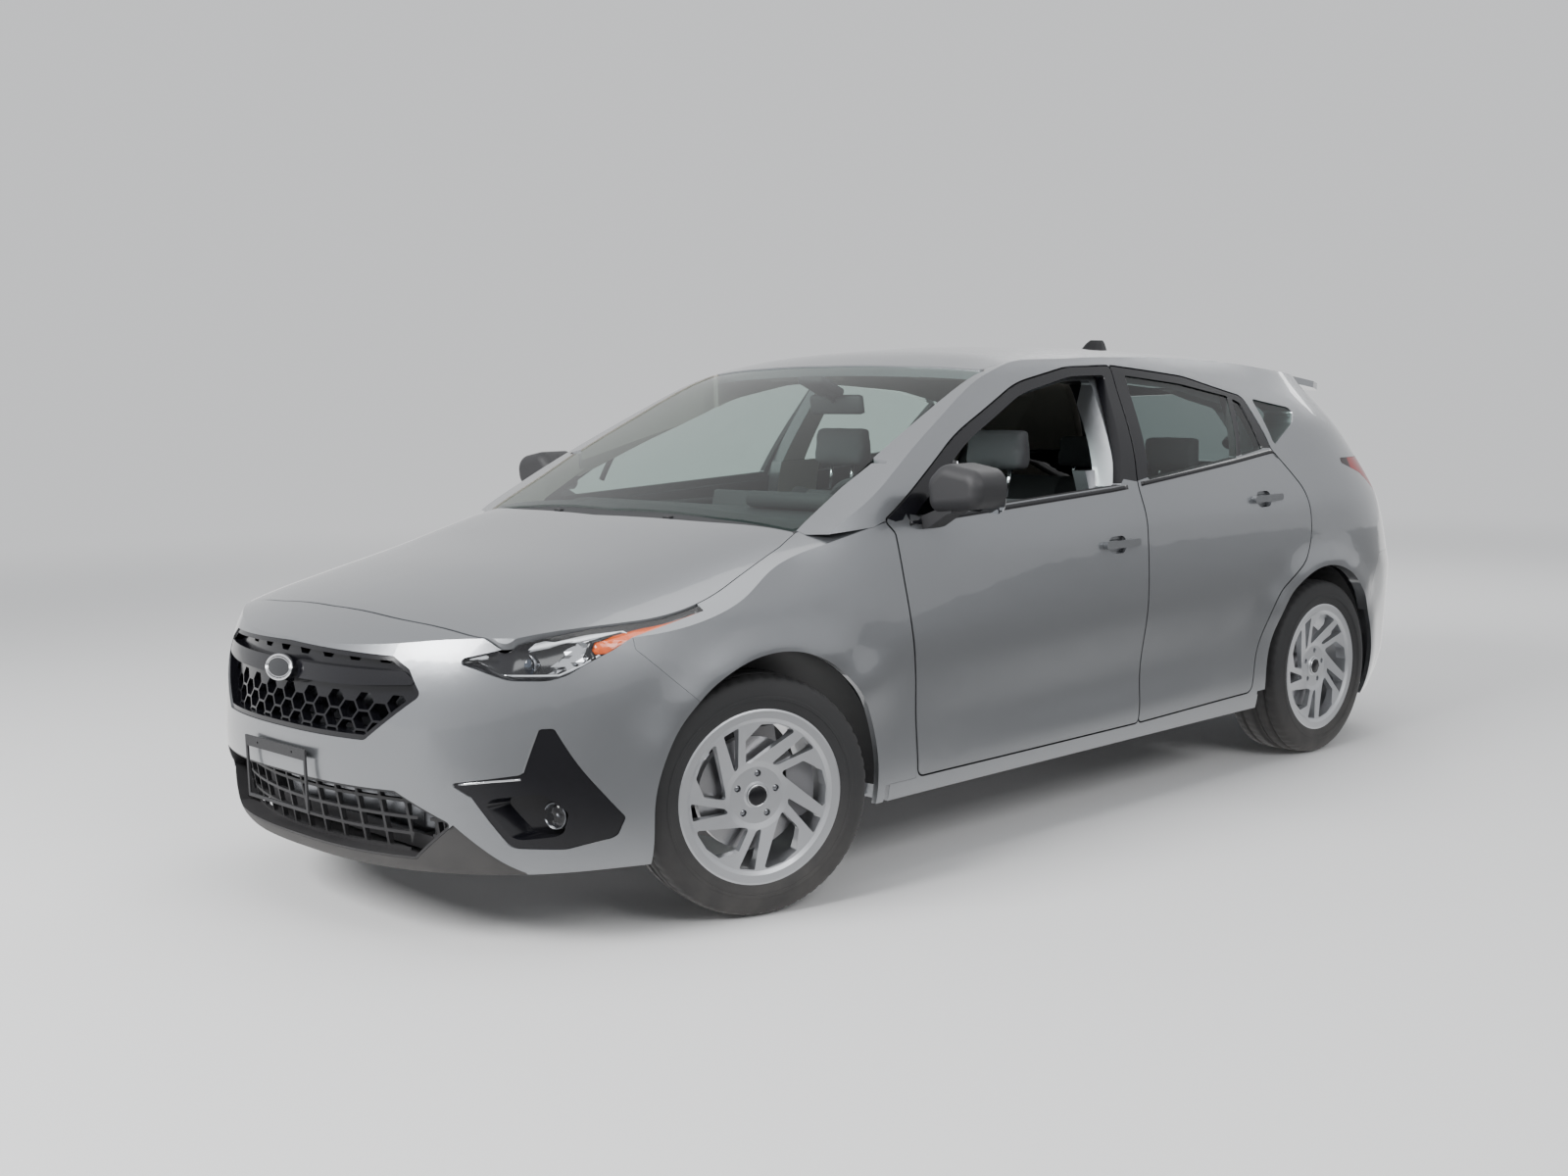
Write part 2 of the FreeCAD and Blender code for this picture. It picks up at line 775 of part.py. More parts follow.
upper_line = [
    (front(560), d.belt_front + 86, 0),
    (mid(0.5), d.belt_front + 40, 0),
    (rear(120), d.belt_front + 60, 0),
    (rear(120), d.roof_height + 60, 0),
    (front(560), d.roof_height + 60, 0),
]
front_opening = [
    (front(300), d.belt_front - 200, 0),
    (mid(0.565), d.belt_front - 200, 0),
    (mid(0.565), under_belt(mid(0.565)), 8),
    (seam_b[4][0] - 88, d.rail_height - 26, 12),
    (front(1452), d.rail_height - 28, 500),
    (front(1182), d.rail_height - 76, 600),
    (front(850), d.rail_height - 208, 900),
    (front(300), d.belt_front - 40, 0),
]
rear_opening = [
    (seam_b[3][0] - 6, d.belt_front - 200, 0),
    (rear(-250), d.belt_front - 200, 0),
    (rear(-280), under_belt(rear(-280)), 20),
    (rear(-318), d.rail_height - 130, 30),
    (rear(-640), d.rail_height - 58, 700),
    (seam_b[4][0] - 8, d.rail_height - 30, 12),
]
pillars = hull(d.door_flange + 6).cut(hull_pillar).common(side_prism(upper_line, 300, 1000))
for outline in (front_opening, rear_opening, quarter_window):
    pillars = pillars.cut(door_cut(outline))
pillars = pillars.cut(door_cut(rear_inner_line, 14 - d.flange_lap))
swing_space = box(700, 1000, mid(0.592), mid(0.615), d.belt_front + 20, d.belt_front + 140).cut(hull(48))
pillars = pillars.cut(swing_space)

ring_line = [
    (front(400), d.sill_height + 2, 0),
    (rear(-250), d.sill_height + 2, 0),
    (rear(100), d.sill_height + 300, 0),
    (rear(100), d.belt_front + 126, 0),
    (mid(0.5), d.belt_front + 96, 0),
    (mid(0.5), d.belt_front - 30, 0),
    (front(400), d.belt_front - 40, 0),
]
ring = hull_ring.cut(hull_ring_inner).common(side_prism(ring_line, 300, 1000))
ring_openings = [
    [
        (front(590), d.door_bottom + 45, 40),
        (mid(0.5), d.door_bottom + 45, 60),
        (mid(0.545), d.waist_height + 60, 200),
        (mid(0.545), d.belt_front + 200, 0),
        (front(590), d.belt_front + 200, 0),
    ],
    [
        (mid(0.62), d.door_bottom + 45, 40),
        (rear(-520), d.door_bottom + 57, 60),
        (rear(-420), d.tyre_radius + 290, 200),
        (rear(-190), d.waist_height + 135, 150),
        (rear(-190), d.belt_front + 200, 0),
        (mid(0.62), d.belt_front + 200, 0),
    ],
]
for outline in ring_openings:
    ring = ring.cut(side_prism(outline, 200, 1000))
inner_arch = arch(rear_axle, d.arch_radius + 7)
ring = ring.cut(inner_arch).cut(box(700, 776, front(526), front(560), d.belt_front - 110, d.belt_front))
pads = box(700, 1000, mid(0.555), mid(0.58), d.waist_height - 40, d.waist_height + 40).fuse(
    box(700, 1000, rear(-182), rear(-136), d.waist_height + 180, d.waist_height + 240)
)
strikers = hull(d.wall + d.seat_play).common(pads).cut(hull_ring.translated(V(-5, 0, 0)))
sill_box = box(300, 1000, front(418), rear(-415), d.sill_height, d.door_bottom - gap)
sill = hull_outer.cut(hull_ring_inner).common(sill_box)
frame = flange_ring.fuse([pillars.cut(inner_arch), pillar_foot, ring, sill, strikers]).common(roof_space)
frame = frame.cut(tailgate_hole)
frame = frame.cut(door_cut(quarter_window))
frame = frame.cut(arch(rear_axle, d.arch_radius))
frame = frame.cut(side_prism(bumper_rear_line, 0, 1000, d.seam / 2))
frame = frame.cut(side_prism(tail_lamp_line, 0, 1000, d.seam))
frame = frame.cut(box(-10, 520, rear(400), rear(1000), 600, 760))
roof_hole = plan_prism(
    [
        (-20, front(60), 0),
        (half - 170, front(60), 0),
        (half - 170, front(232), 30),
        (half - d.rail_inset - 22, header + 20, 0),
        (half - d.rail_inset - 22, header + 67, 20),
        (half - d.rail_inset - 34, header + 70, 20),
        (half - d.rail_inset - 34, mid(0.65), 2500),
        (half - d.rail_inset - 76, rear(178), 0),
        (-20, rear(178), 0),
    ],
    d.belt_front - 20,
    d.roof_height + 100,
    d.seam,
)
frame = frame.cut(roof_hole)
keep_pair("side_frame", whole(frame))
keep("quarter_glass", pair(side_glass([quarter_window])))
lamp_space = hull_outer.cut(hull_pillar).common(side_prism(tail_lamp_line, 0, 1000))
keep("tail_lamps", pair(whole(lamp_space.cut(tailgate_hole))))

# Roof and windscreen
roof_slab = roof_face.extrude(V(0, 0, -d.roof_thickness))
fin_sections = [(1436, 1012, 1184, 25), (1468, 1034, 1182, 18), (1496, 1070, 1174, 10), (1508, 1094, 1166, 5)]
fin_wires = []
for z, y_front, y_back, wide in fin_sections:
    long = y_back - y_front
    side = [(0.0, 0.25), (0.15, 0.6), (0.45, 0.95), (0.75, 1.0), (0.97, 0.75), (1.0, 0.3)]
    plan = [(wide * w, y_front + long * t, 0) for t, w in side]
    plan += [(-wide * w, y_front + long * t, 0) for t, w in reversed(side)]
    fin_wires.append(wire_in(plan, lambda p: V(p.x, p.y, z)))
fin = Part.makeLoft(fin_wires, True, True)
roof_half = roof_slab.common(plan_prism(roof_edge, 900, 1700)).common(left_side)
keep("roof_panel", both(roof_half).fuse(fin))
screen_slab = roof_face.translated(V(0, 0, -4)).extrude(V(0, 0, -d.screen_thickness))
keep(
    "windscreen",
    both(screen_slab.common(plan_prism(screen_edge, 800, 1700, -d.seat_play)).common(left_side)),
)

# Bonnet, trimmed to the body's outer surface
hood_slab = hood_face.extrude(V(0, 0, -d.hood_thickness))
hood = hood_slab.common(plan_prism(hood_edge, 500, 1200)).common(hull_outer)
keep("hood", both(whole(hood)))

# Tailgate: a shell with a window, and its glass
back = box(0, 1000, rear(196), rear(1000), 300, 1700)
tail_depth = 46
tail_outer = hull_outer.common(roof_space)
tail_inner = hull(tail_depth).common(below(roof_face, 30))
tailgate = tail_outer.cut(tail_inner).common(end_prism(tailgate_line, rear(120), rear(1000))).common(back)
tail_glass_line = [
    (-20, 1012, 0),
    (540, 1012, 40),
    (548, 1070, 60),
    (484, 1284, 40),
    (-20, 1300, 0),
]
glass_space = end_prism(tail_glass_line, rear(300), rear(1000))
rebate = end_prism(tailgate_line, rear(120), rear(1000), 5).cut(
    end_prism(tailgate_line, rear(110), rear(1010), -17)
)
tailgate = tailgate.cut(rebate.common(hull(12)))
spoiler_edge = [
    (-20, rear(240), 0),
    (560, rear(240), 0),
    (560, rear(400), 60),
    (500, rear(566), 60),
    (-20, rear(590), 0),
]
spoiler_slab = roof_face.extrude(V(0, 0, -26)).common(plan_prism(spoiler_edge, 1000, 1700)).common(left_side)
spoiler = spoiler_slab.common(end_prism(tailgate_line, rear(200), rear(700)))
tailgate = tailgate.cut(glass_space).fuse(spoiler)
keep("tailgate", both(whole(tailgate)))
glass_skin = hull_glass.common(below(roof_face, d.glass_inset)).cut(
    hull(d.glass_inset + d.glass).common(below(roof_face, 11))
)
tail_glass = glass_skin.common(end_prism(tail_glass_line, rear(300), rear(1000), -d.glass_play))
keep("tailgate_glass", both(whole(tail_glass)))

# Front end: one shell under the bonnet's surface, split into fenders and bumper
over_hood = hood_face.extrude(V(0, 0, 900))
front_block = box(-50, 1000, nose - 200, front(560), 50, 1800)
front_inner = hull_skin.common(front_block).cut(over_hood.translated(V(0, 0, -d.skin)))


def front_panel(region):
    """The front end's outer shell inside a region."""
    return whole(hull_outer.common(region).cut(over_hood).cut(front_inner))


bumper_seam = [
    (front(-1000), 40, 0),
    (front(-200), 40, 0),
    (front(-200), d.tyre_radius + 230, 0),
    (front(-392), 735, 0),
    (front(-420), 1200, 0),
    (front(-1000), 1200, 0),
]
hood_hole = hood_edge[4:7] + [
    (half - 162, front(700), 0),
    (-1, front(700), 0),
    (-1, nose - 60, 0),
    (600, nose - 60, 0),
    hood_edge[3],
]
lamp_front_line = [
    (545, 722, 14),
    (620, 742, 60),
    (770, 800, 200),
    (half - 60, 848, 10),
    (half - 62, 812, 20),
    (half - 100, 738, 30),
    (735, 672, 50),
    (660, 676, 60),
    (600, 702, 40),
]
lamp_front_space = end_prism(lamp_front_line, nose - 100, front(-190))
lamp_hole = end_prism(lamp_front_line, nose - 100, front(-190), d.seam)
front_region = box(-50, 1000, nose - 200, front(545), d.sill_height - 22, 1300)
front_region = front_region.cut(arch(front_axle, d.arch_radius, 250, 1100)).cut(lamp_hole)
fender_region = front_region.cut(plan_prism(hood_hole, 100, 1400, gap / 2))
fender_region = fender_region.cut(side_prism(bumper_seam, -60, 1100, d.seam / 2))
fender_region = fender_region.cut(door_cut(front_door_line, gap))
fender_region = fender_region.cut(box(-60, 1100, front(400), front(700), 0, d.door_bottom - gap + d.seam))
fender_region = fender_region.cut(box(-60, 1100, front(-500), front(700), 0, d.sill_height))
fender_region = fender_region.cut(side_prism(frame_line, 200, 1100, d.seam))
keep_pair("fender", front_panel(fender_region))

grille_line = [
    (-20, 524, 0),
    (345, 524, 22),
    (492, 640, 16),
    (452, 700, 14),
    (400, 728, 14),
    (-20, 738, 0),
]
intake_line = [
    (-20, 236, 0),
    (455, 236, 10),
    (560, 330, 12),
    (430, 408, 20),
    (-20, 412, 0),
]
fog_line = [
    (560, 432, 6),
    (690, 452, 10),
    (712, 560, 8),
    (735, 560, 8),
    (812, 330, 24),
    (800, 282, 22),
    (740, 262, 20),
    (660, 272, 30),
    (600, 400, 10),
]
bumper_region = front_region.cut(plan_prism(hood_edge, 100, 1400, gap))
bumper_region = bumper_region.common(side_prism(bumper_seam, -60, 1100, -d.seam / 2))
lip_line = [
    (-20, 120, 0),
    (668, 120, 0),
    (668, 206, 0),
    (560, 330, 0),
    (455, 236, 10),
    (-20, 236, 0),
]
for outline in (grille_line, intake_line, fog_line, lip_line):
    bumper_region = bumper_region.cut(end_prism(outline, nose - 300, front(-250)))
keep("bumper_front", both(front_panel(bumper_region)))

lamp_body = hull(3).common(lamp_front_space).cut(over_hood.translated(V(0, 0, -3))).cut(hull(95))
lamp_body = lamp_body.cut(plan_prism(hood_edge, 100, 1400, gap))
keep("headlamps", pair(whole(lamp_body)))

# Grille: a deep frame, a mesh of flattened cells in staggered rows, a broad bar and the oval badge place
def shell(region, outer, inner):
    """The body's outer skin inside a region, from one depth to another."""
    return hull(outer).common(region).cut(hull(inner))


def ring(points, width, low, high):
    """The border of an outline, as a prism."""
    return end_prism(points, low, high, -0.4).cut(end_prism(points, low - 5, high + 5, -width))


def full(points):
    """A half outline and its mirror image, without the points across the centreline."""
    half_line = [p for p in points if p[0] > 0]
    return half_line + [(-x, z, r) for x, z, r in reversed(half_line)]


def curved_plate(point, lean, radius, depth):
    """A plate bent round a leaning upright axis, its front at a point on the centreline."""
    axis = V(0, math.sin(math.radians(lean)), math.cos(math.radians(lean)))
    middle = point + V(0, radius / math.cos(math.radians(lean)), 0)
    foot = middle - axis * 400
    outer = Part.makeCylinder(radius, 800, foot, axis)
    return outer.cut(Part.makeCylinder(radius - depth, 800, foot, axis))


def pierced(points, cells, low, high):
    """A prism of an outline with openings right through it."""
    face = Part.Face(wire_in(points, lambda p: V(p.x, low, p.y), -3))
    holes = [Part.Face(wire_in(c, lambda p: V(p.x, low, p.y))) for c in cells]
    return face.cut(holes).extrude(V(0, high - low, 0))


mesh_wide, mesh_high, mesh_rib = 34, 23, 2.7
bar_low, bar_high = 648, 696
hexagons = []
for row in range(-1, 11):
    for column in range(-6, 7):
        x = column * mesh_wide * 3 + (mesh_wide * 1.5 if row % 2 else 0)
        z = 520 + row * mesh_high
        w, h = mesh_wide - mesh_rib * 1.3, mesh_high - mesh_rib
        if bar_low < z + h and z - h < bar_high:
            continue
        hexagons.append(
            [
                (x - w, z, 2),
                (x - w / 2, z - h, 2),
                (x + w / 2, z - h, 2),
                (x + w, z, 2),
                (x + w / 2, z + h, 2),
                (x - w / 2, z + h, 2),
            ]
        )
bar_line = [
    (-20, 650, 0),
    (300, 654, 900),
    (466, 664, 8),
    (470, 674, 8),
    (440, 694, 20),
    (-20, 692, 0),
]
front_space = (nose - 100, front(-500))
grille_frame = whole(shell(ring(grille_line, 12, *front_space), 4, 58))
grille_bar = whole(shell(end_prism(bar_line, *front_space), 1, 34))
mesh_plate = curved_plate(V(0, nose + 18, 524), 12.4, 1350, 22)
mesh = mesh_plate.common(pierced(full(grille_line), hexagons, *front_space))
badge_way = V(0, math.cos(math.radians(15.8)), -math.sin(math.radians(15.8)))
badge = Part.Face(Part.Wire([Part.Ellipse(V(0, 0, 0), 68, 34).toShape()])).extrude(V(0, 0, 46))
badge.Placement = FreeCAD.Placement(
    V(0, nose + 26.5, 672) - badge_way * 12,
    FreeCAD.Rotation(V(0, 0, 1), badge_way),
)
grille = grille_frame.fuse([grille_bar, mirrored(grille_frame), mirrored(grille_bar), mesh, badge])
keep("grille_upper", whole(grille))

# Lower intake: a deep frame with upright and level ribs
slots = []
for x in range(-520, 521, 80):
    for z in (266, 308, 350, 392):
        slots.append([(x - 36, z - 17, 4), (x + 36, z - 17, 4), (x + 36, z + 17, 4), (x - 36, z + 17, 4)])
intake_frame = whole(shell(ring(intake_line, 6, *front_space), 3, 78))
rib_plate = curved_plate(V(0, nose + 72.5, 236), -8.4, 1350, 12)
ribs = rib_plate.common(pierced(full(intake_line), slots, *front_space))
beam_space = box(-463, 463, nose + 129, nose + 300, 200, 440)
keep("grille_lower", whole(intake_frame.fuse([mirrored(intake_frame), ribs]).cut(beam_space)))

# Fog lamp surrounds: an angled trim with a recess, and the round lamp at the recess's end
fog_hollow = [
    (618, 392, 20),
    (716, 404, 16),
    (748, 352, 20),
    (738, 296, 20),
    (668, 290, 24),
]
fog_space = (nose - 100, front(-300))
trim = shell(end_prism(fog_line, *fog_space, -0.4), 3, 58)
hollow = hull(-30).common(end_prism(fog_hollow, *fog_space)).cut(hull(46))
lamp = Part.makeCylinder(34, 60, V(704, nose + 345, 340), V(-0.25, 1, 0)).common(hull(16))
trim = whole(trim.cut(hollow).fuse(lamp).cut(box(300, 1000, front(-382), front(0), 200, 600)))
keep("fog_lamp_surrounds", pair(trim))

# Dark lip under the front bumper
lip_space = end_prism(lip_line, nose - 300, front(-545), -0.4).common(
    box(-60, 1000, nose - 200, front(-545), d.sill_height - 22, 400)
)
keep("front_lip", both(whole(shell(lip_space, 3, 24))))

# Plate bracket: a frame on two bosses, drilled for the plate's two screws
plate_bottom = 322
bracket_front = nose - 14
bracket_outer = box(
    -d.plate_width / 2,
    d.plate_width / 2,
    bracket_front,
    bracket_front + 5,
    plate_bottom,
    plate_bottom + d.plate_height,
)
bracket_window = box(
    -d.plate_width / 2 + 9,
    d.plate_width / 2 - 9,
    bracket_front - 1,
    bracket_front + 6,
    plate_bottom + 9,
    plate_bottom + d.plate_height - 28,
)
bracket = bracket_outer.cut(bracket_window)
screw_height = plate_bottom + d.plate_height - 14
for x in (-d.plate_holes / 2, d.plate_holes / 2):
    bracket = bracket.fuse(Part.makeCylinder(9, 40, V(x, bracket_front, screw_height), V(0, 1, 0)))
for x in (-d.plate_holes / 2, d.plate_holes / 2):
    bracket = bracket.cut(
        Part.makeCylinder(d.plate_hole, 60, V(x, bracket_front - 10, screw_height), V(0, 1, 0))
    )
skin_space = hull(-d.seat_play)
keep("plate_bracket", whole(bracket.cut(skin_space).cut(mirrored(skin_space))))

# Rear bumper
rear_region = side_prism(bumper_rear_line, -50, 1100, -d.seam / 2).common(
    box(-50, 1100, rear(200), rear(1000), 0, 1200)
)
rear_region = rear_region.cut(arch(rear_axle, d.arch_radius, 250, 1100))
bumper_rear = hull_outer.common(rear_region).cut(hull_skin)
pipe_notch = end_prism(
    [(-560, 100, 0), (-400, 100, 0), (-420, 322, 40), (-540, 322, 40)],
    rear(500),
    rear(1000),
)
keep("bumper_rear", both(whole(bumper_rear)).cut(pipe_notch))

# Cowl between the bonnet and the windscreen
cowl_edge = [
    (-20, front(64), 0),
    (440, front(100), 900),
    (half - 173, front(170), 10),
    (half - 173, front(262), 10),
    (440, front(230), 900),
    (-20, front(200), 0),
]
cowl_drop = 4 + d.screen_thickness + 2 * d.seat_play
cowl_slab = roof_face.translated(V(0, 0, -cowl_drop)).extrude(V(0, 0, -40))
cowl = cowl_slab.common(plan_prism(cowl_edge, 700, 1300, d.seam - d.seat_play)).common(left_side)
over_cowl = plan_prism(hood_edge, 600, 1300, gap).cut(below(hood_face, d.hood_thickness + gap))
keep("cowl", both(whole(cowl.cut(over_cowl))))


# From here on the pieces are features of the document, bound to the sheet


def said(expression):
    """An expression in the sheet's own words, as the document reads it."""
    return re.sub(r"[a-z_]+", lambda m: "sizes." + m[0] if m[0] in ALIASES else m[0], expression)


FRONT_AXLE = "(front_overhang - body_length / 2)"
REAR_AXLE = "(front_overhang - body_length / 2 + wheelbase)"
ALONG_X = FreeCAD.Rotation(V(0, 1, 0), 90)
ALONG_Y = FreeCAD.Rotation(V(1, 0, 0), -90)
UPRIGHT = FreeCAD.Rotation()


def place(obj, at, rotation=UPRIGHT):
    obj.Placement = FreeCAD.Placement(V(0, 0, 0), rotation)
    for axis, expression in zip("xyz", at):
        obj.setExpression(f"Placement.Base.{axis}", said(str(expression)))
    return obj


def primitive(kind, name, at, rotation=UPRIGHT, **measures):
    """A Part primitive whose measures and place are bound to the sheet."""
    obj = doc.addObject("Part::" + kind, name)
    for measure, expression in measures.items():
        obj.setExpression(measure, said(str(expression)))
    return place(obj, at, rotation)


def block(name, at, size):
    length, width, height = size
    return primitive("Box", name, at, Length=length, Width=width, Height=height)


def bar(name, at, rotation, radius, height):
    return primitive("Cylinder", name, at, rotation, Radius=radius, Height=height)


def fused(name, parts):
    obj = doc.addObject("Part::MultiFuse", name)
    obj.Shapes = parts
    return obj


def cut_from(name, base, tool):
    obj = doc.addObject("Part::Cut", name)
    obj.Base = base
    obj.Tool = tool
    return obj


def mirror_of(name, source):
    obj = doc.addObject("Part::Mirroring", name)
    obj.Source = source
    obj.Normal = V(1, 0, 0)
    return obj


def together(name, parts):
    obj = doc.addObject("Part::Compound", name)
    obj.Links = parts
    return obj


def with_mirror(name, source):
    return together(name, [source, mirror_of(name + "_mirrored", source)])


def node(name, obj):
    obj.Label = name
    pieces[name] = obj
    return obj


def plane_of(body, role):
    return [f for f in body.Origin.OriginFeatures if f.Role == role][0]


def outline_sketch(body, role, points, name):
    """A sketch on a plane of the body's origin through rounded corners (a, b, radius)."""
    sketch = body.newObject("Sketcher::SketchObject", name)
    sketch.AttachmentSupport = (plane_of(body, role), [""])
    sketch.MapMode = "FlatFace"
    cuts = rounded(points)
    for i, (start, middle, end) in enumerate(cuts):
        if middle is not None:
            sketch.addGeometry(Part.Arc(start, middle, end))
        following = cuts[(i + 1) % len(cuts)][0]
        if (following - end).Length > 0.01:
            sketch.addGeometry(Part.LineSegment(end, following))
    return sketch


def padded_outline(name, role, points, length, at=("0", "0", "0")):
    """An outline given thickness: across the car from a side view, or along it from an end view."""
    body = doc.addObject("PartDesign::Body", name)
    sketch = outline_sketch(body, role, points, name + "_outline")
    pad = body.newObject("PartDesign::Pad", name + "_pad")
    pad.Profile = sketch
    pad.setExpression("Length", said(length))
    pad.Reversed = role == "XZ_Plane"
    return place(body, at)


def turned_outline(name, points, at=("0", "0", "0")):
    """An outline (along the axle, radius, corner radius) turned about the axle."""
    body = doc.addObject("PartDesign::Body", name)
    sketch = outline_sketch(body, "XY_Plane", points, name + "_outline")
    turn = body.newObject("PartDesign::Revolution", name + "_turn")
    turn.Profile = sketch
    turn.ReferenceAxis = (sketch, ["H_Axis"])
    turn.Angle = 360
    return place(body, at)


pan = d.floor_height

# Wheels: one of each kind, placed at the four corners
tyre_half = d.tyre_width / 2
bead = d.rim_width / 2
tyre_outline = [
    (-bead + 9.5, d.rim_radius - 20.4, 0),
    (-bead + 7.8, d.rim_radius + 0.9, 0),
    (-tyre_half, d.rim_radius + 38, 0),
    (-tyre_half + 22, d.tyre_radius, 0),
    (tyre_half - 22, d.tyre_radius, 0),
    (tyre_half, d.rim_radius + 38, 0),
    (bead - 7.8, d.rim_radius + 0.9, 0),
    (bead - 9.5, d.rim_radius - 20.4, 0),
]
tyre = turned_outline("tyre_form", tyre_outline)
rim_outline = [
    (-bead, d.rim_radius, 0),
    (-bead + 7, d.rim_radius, 0),
    (-bead + 8.7, d.rim_radius - 21.3, 0),
    (bead - 8.7, d.rim_radius - 21.3, 0),
    (bead - 7, d.rim_radius, 0),
    (bead, d.rim_radius, 0),
    (bead + 1.5, d.rim_radius - 5, 0),
    (bead - 1, d.rim_radius - 24, 0),
    (bead - 8, d.rim_radius - 34, 0),
    (bead - 17, 140, 0),
    (bead - 25, 90, 0),
    (bead - 29, 74, 0),
    (bead - 29, 36, 0),
    (bead - 25, 31, 0),
    (bead - 24, 0, 0),
    (d.mount_face, 0, 0),
    (d.mount_face, d.hub_radius, 0),
    (bead - 42, d.hub_radius + 12, 0),
    (bead - 38, 165, 0),
    (bead - 50, d.rim_radius - 33, 0),
    (-bead + 4, d.rim_radius - 33, 0),
]
rim = turned_outline("rim_form", rim_outline)
SPOKE_PAIRS = 5

# Windows of the wheel, seen from outside: a wide one between the pairs of spokes and a slot in each pair
wide_window = [(-29, 82), (-33, 148), (10, 187), (55, 184), (98, 165), (103, 157), (-8, 91)]
slot_window = [(-60, 64), (-96, 166), (-54, 185), (-51, 80)]
windows = (("wide", wide_window, 7), ("slot", slot_window, 4))
for label, outline, radius in windows:
    corners = [(a, b, radius) for a, b in outline]
    sketch = outline_sketch(rim, "YZ_Plane", corners, f"rim_{label}_window")
    pocket = rim.newObject("PartDesign::Pocket", f"rim_{label}_pocket")
    pocket.Profile = sketch
    pocket.setExpression("Length", said("rim_width"))
    pocket.Reversed = True
    doc.recompute()
    rim.Tip = pocket
    pattern = rim.newObject("PartDesign::PolarPattern", f"rim_{label}_pattern")
    pattern.Originals = [pocket]
    pattern.Axis = (plane_of(rim, "X_Axis"), [""])
    pattern.Angle = 360
    pattern.Occurrences = SPOKE_PAIRS
    rim.Tip = pattern
    doc.recompute()

# Seats of the five wheel nuts
nut_angle = math.radians(84.5)
nut_sketch = rim.newObject("Sketcher::SketchObject", "nut_seat")
nut_sketch.AttachmentSupport = (plane_of(rim, "YZ_Plane"), [""])
nut_sketch.MapMode = "FlatFace"
nut_at = V(d.lug_circle / 2 * math.cos(nut_angle), d.lug_circle / 2 * math.sin(nut_angle))
nut_sketch.addGeometry(Part.Circle(nut_at, V(0, 0, 1), d.lug_hole))
nut_pocket = rim.newObject("PartDesign::Pocket", "nut_pocket")
nut_pocket.Profile = nut_sketch
nut_pocket.setExpression("Length", said("rim_width"))
nut_pocket.Reversed = True
doc.recompute()
rim.Tip = nut_pocket
nuts = rim.newObject("PartDesign::PolarPattern", "nut_pattern")
nuts.Originals = [nut_pocket]
nuts.Axis = (plane_of(rim, "X_Axis"), [""])
nuts.Angle = 360
nuts.Occurrences = SPOKE_PAIRS
rim.Tip = nuts
doc.recompute()

disc_plate = bar("disc_plate", ("mount_face - 40", 0, 0), ALONG_X, "disc_radius", "disc_thickness")
disc_hat = bar("disc_hat", ("mount_face - 40", 0, 0), ALONG_X, "hub_radius + 6", "39.7")
disc = fused("disc_form", [disc_plate, disc_hat])

STEER = d.steer_rest
kingpin_x = "(track / 2 - kingpin_offset)"
corners = {
    "front_left": (
        (
            f"{kingpin_x} + kingpin_offset * cos(steer_rest)",
            f"{FRONT_AXLE} - kingpin_offset * sin(steer_rest)",
        ),
        -STEER,
    ),
    "front_right": (
        (
            f"-{kingpin_x} - kingpin_offset * cos(steer_rest)",
            f"{FRONT_AXLE} + kingpin_offset * sin(steer_rest)",
        ),
        180 - STEER,
    ),
    "rear_left": (("track / 2", REAR_AXLE), 0),
    "rear_right": (("-track / 2", REAR_AXLE), 180),
}
for corner, ((x, y), turn) in corners.items():
    for kind, form in (("tyre", tyre), ("rim", rim), ("disc", disc)):
        wheel_piece = together(f"{kind}_{corner}", [form])
        place(wheel_piece, (x, y, "tyre_radius"), FreeCAD.Rotation(V(0, 0, 1), turn))
        node(f"{kind}_{corner}", wheel_piece)

# Steering knuckles with their brake calipers, in the wheel's own frame
upright = block("knuckle_upright", ("-kingpin_offset + 12", "-42", "-100"), ("38", "84", "205"))
bearing = bar(
    "knuckle_bearing",
    ("-kingpin_offset + 20", 0, 0),
    ALONG_X,
    "62",
    "kingpin_offset - 20 + mount_face - 40 - seat_play",
)
lower_arm = block("knuckle_lower_arm", ("-kingpin_offset - 22", "-24", "-119.6"), ("60", "48", "26"))
upper_clamp = bar("knuckle_clamp", ("-kingpin_offset", 0, "86"), UPRIGHT, "34", "34")
steering_arm = block("knuckle_steering_arm", ("-kingpin_offset - 12", "30", "-30"), ("24", "120", "22"))
caliper_line = [
    (98, -66, 10),
    (136, -78, 20),
    (172, -60, 20),
    (178, 0, 60),
    (172, 60, 20),
    (136, 78, 20),
    (98, 66, 10),
]
caliper = padded_outline("caliper_block", "YZ_Plane", caliper_line, "64", ("mount_face - 66", 0, 0))
caliper_slot = bar(
    "caliper_slot",
    ("mount_face - 46", 0, 0),
    ALONG_X,
    "disc_radius + 6",
    "disc_thickness + 12",
)
caliper_open = cut_from("caliper_form", caliper, caliper_slot)
caliper_arm = block("caliper_arm", ("-kingpin_offset + 34", "20", "-40"), ("36", "120", "80"))
knuckle = fused(
    "knuckle_form",
    [upright, bearing, lower_arm, upper_clamp, steering_arm, caliper_open, caliper_arm],
)
mirrored_knuckle = doc.addObject("Part::Mirroring", "knuckle_mirrored")
mirrored_knuckle.Source = knuckle
mirrored_knuckle.Normal = V(1, 0, 0)
for corner, form in (("front_left", knuckle), ("front_right", mirrored_knuckle)):
    (x, y), turn = corners[corner]
    side = corner.split("_")[1]
    held = together(f"knuckle_{side}", [form])
    place(held, (x, y, "tyre_radius"), FreeCAD.Rotation(V(0, 0, 1), -STEER))
    node(f"knuckle_{side}", held)

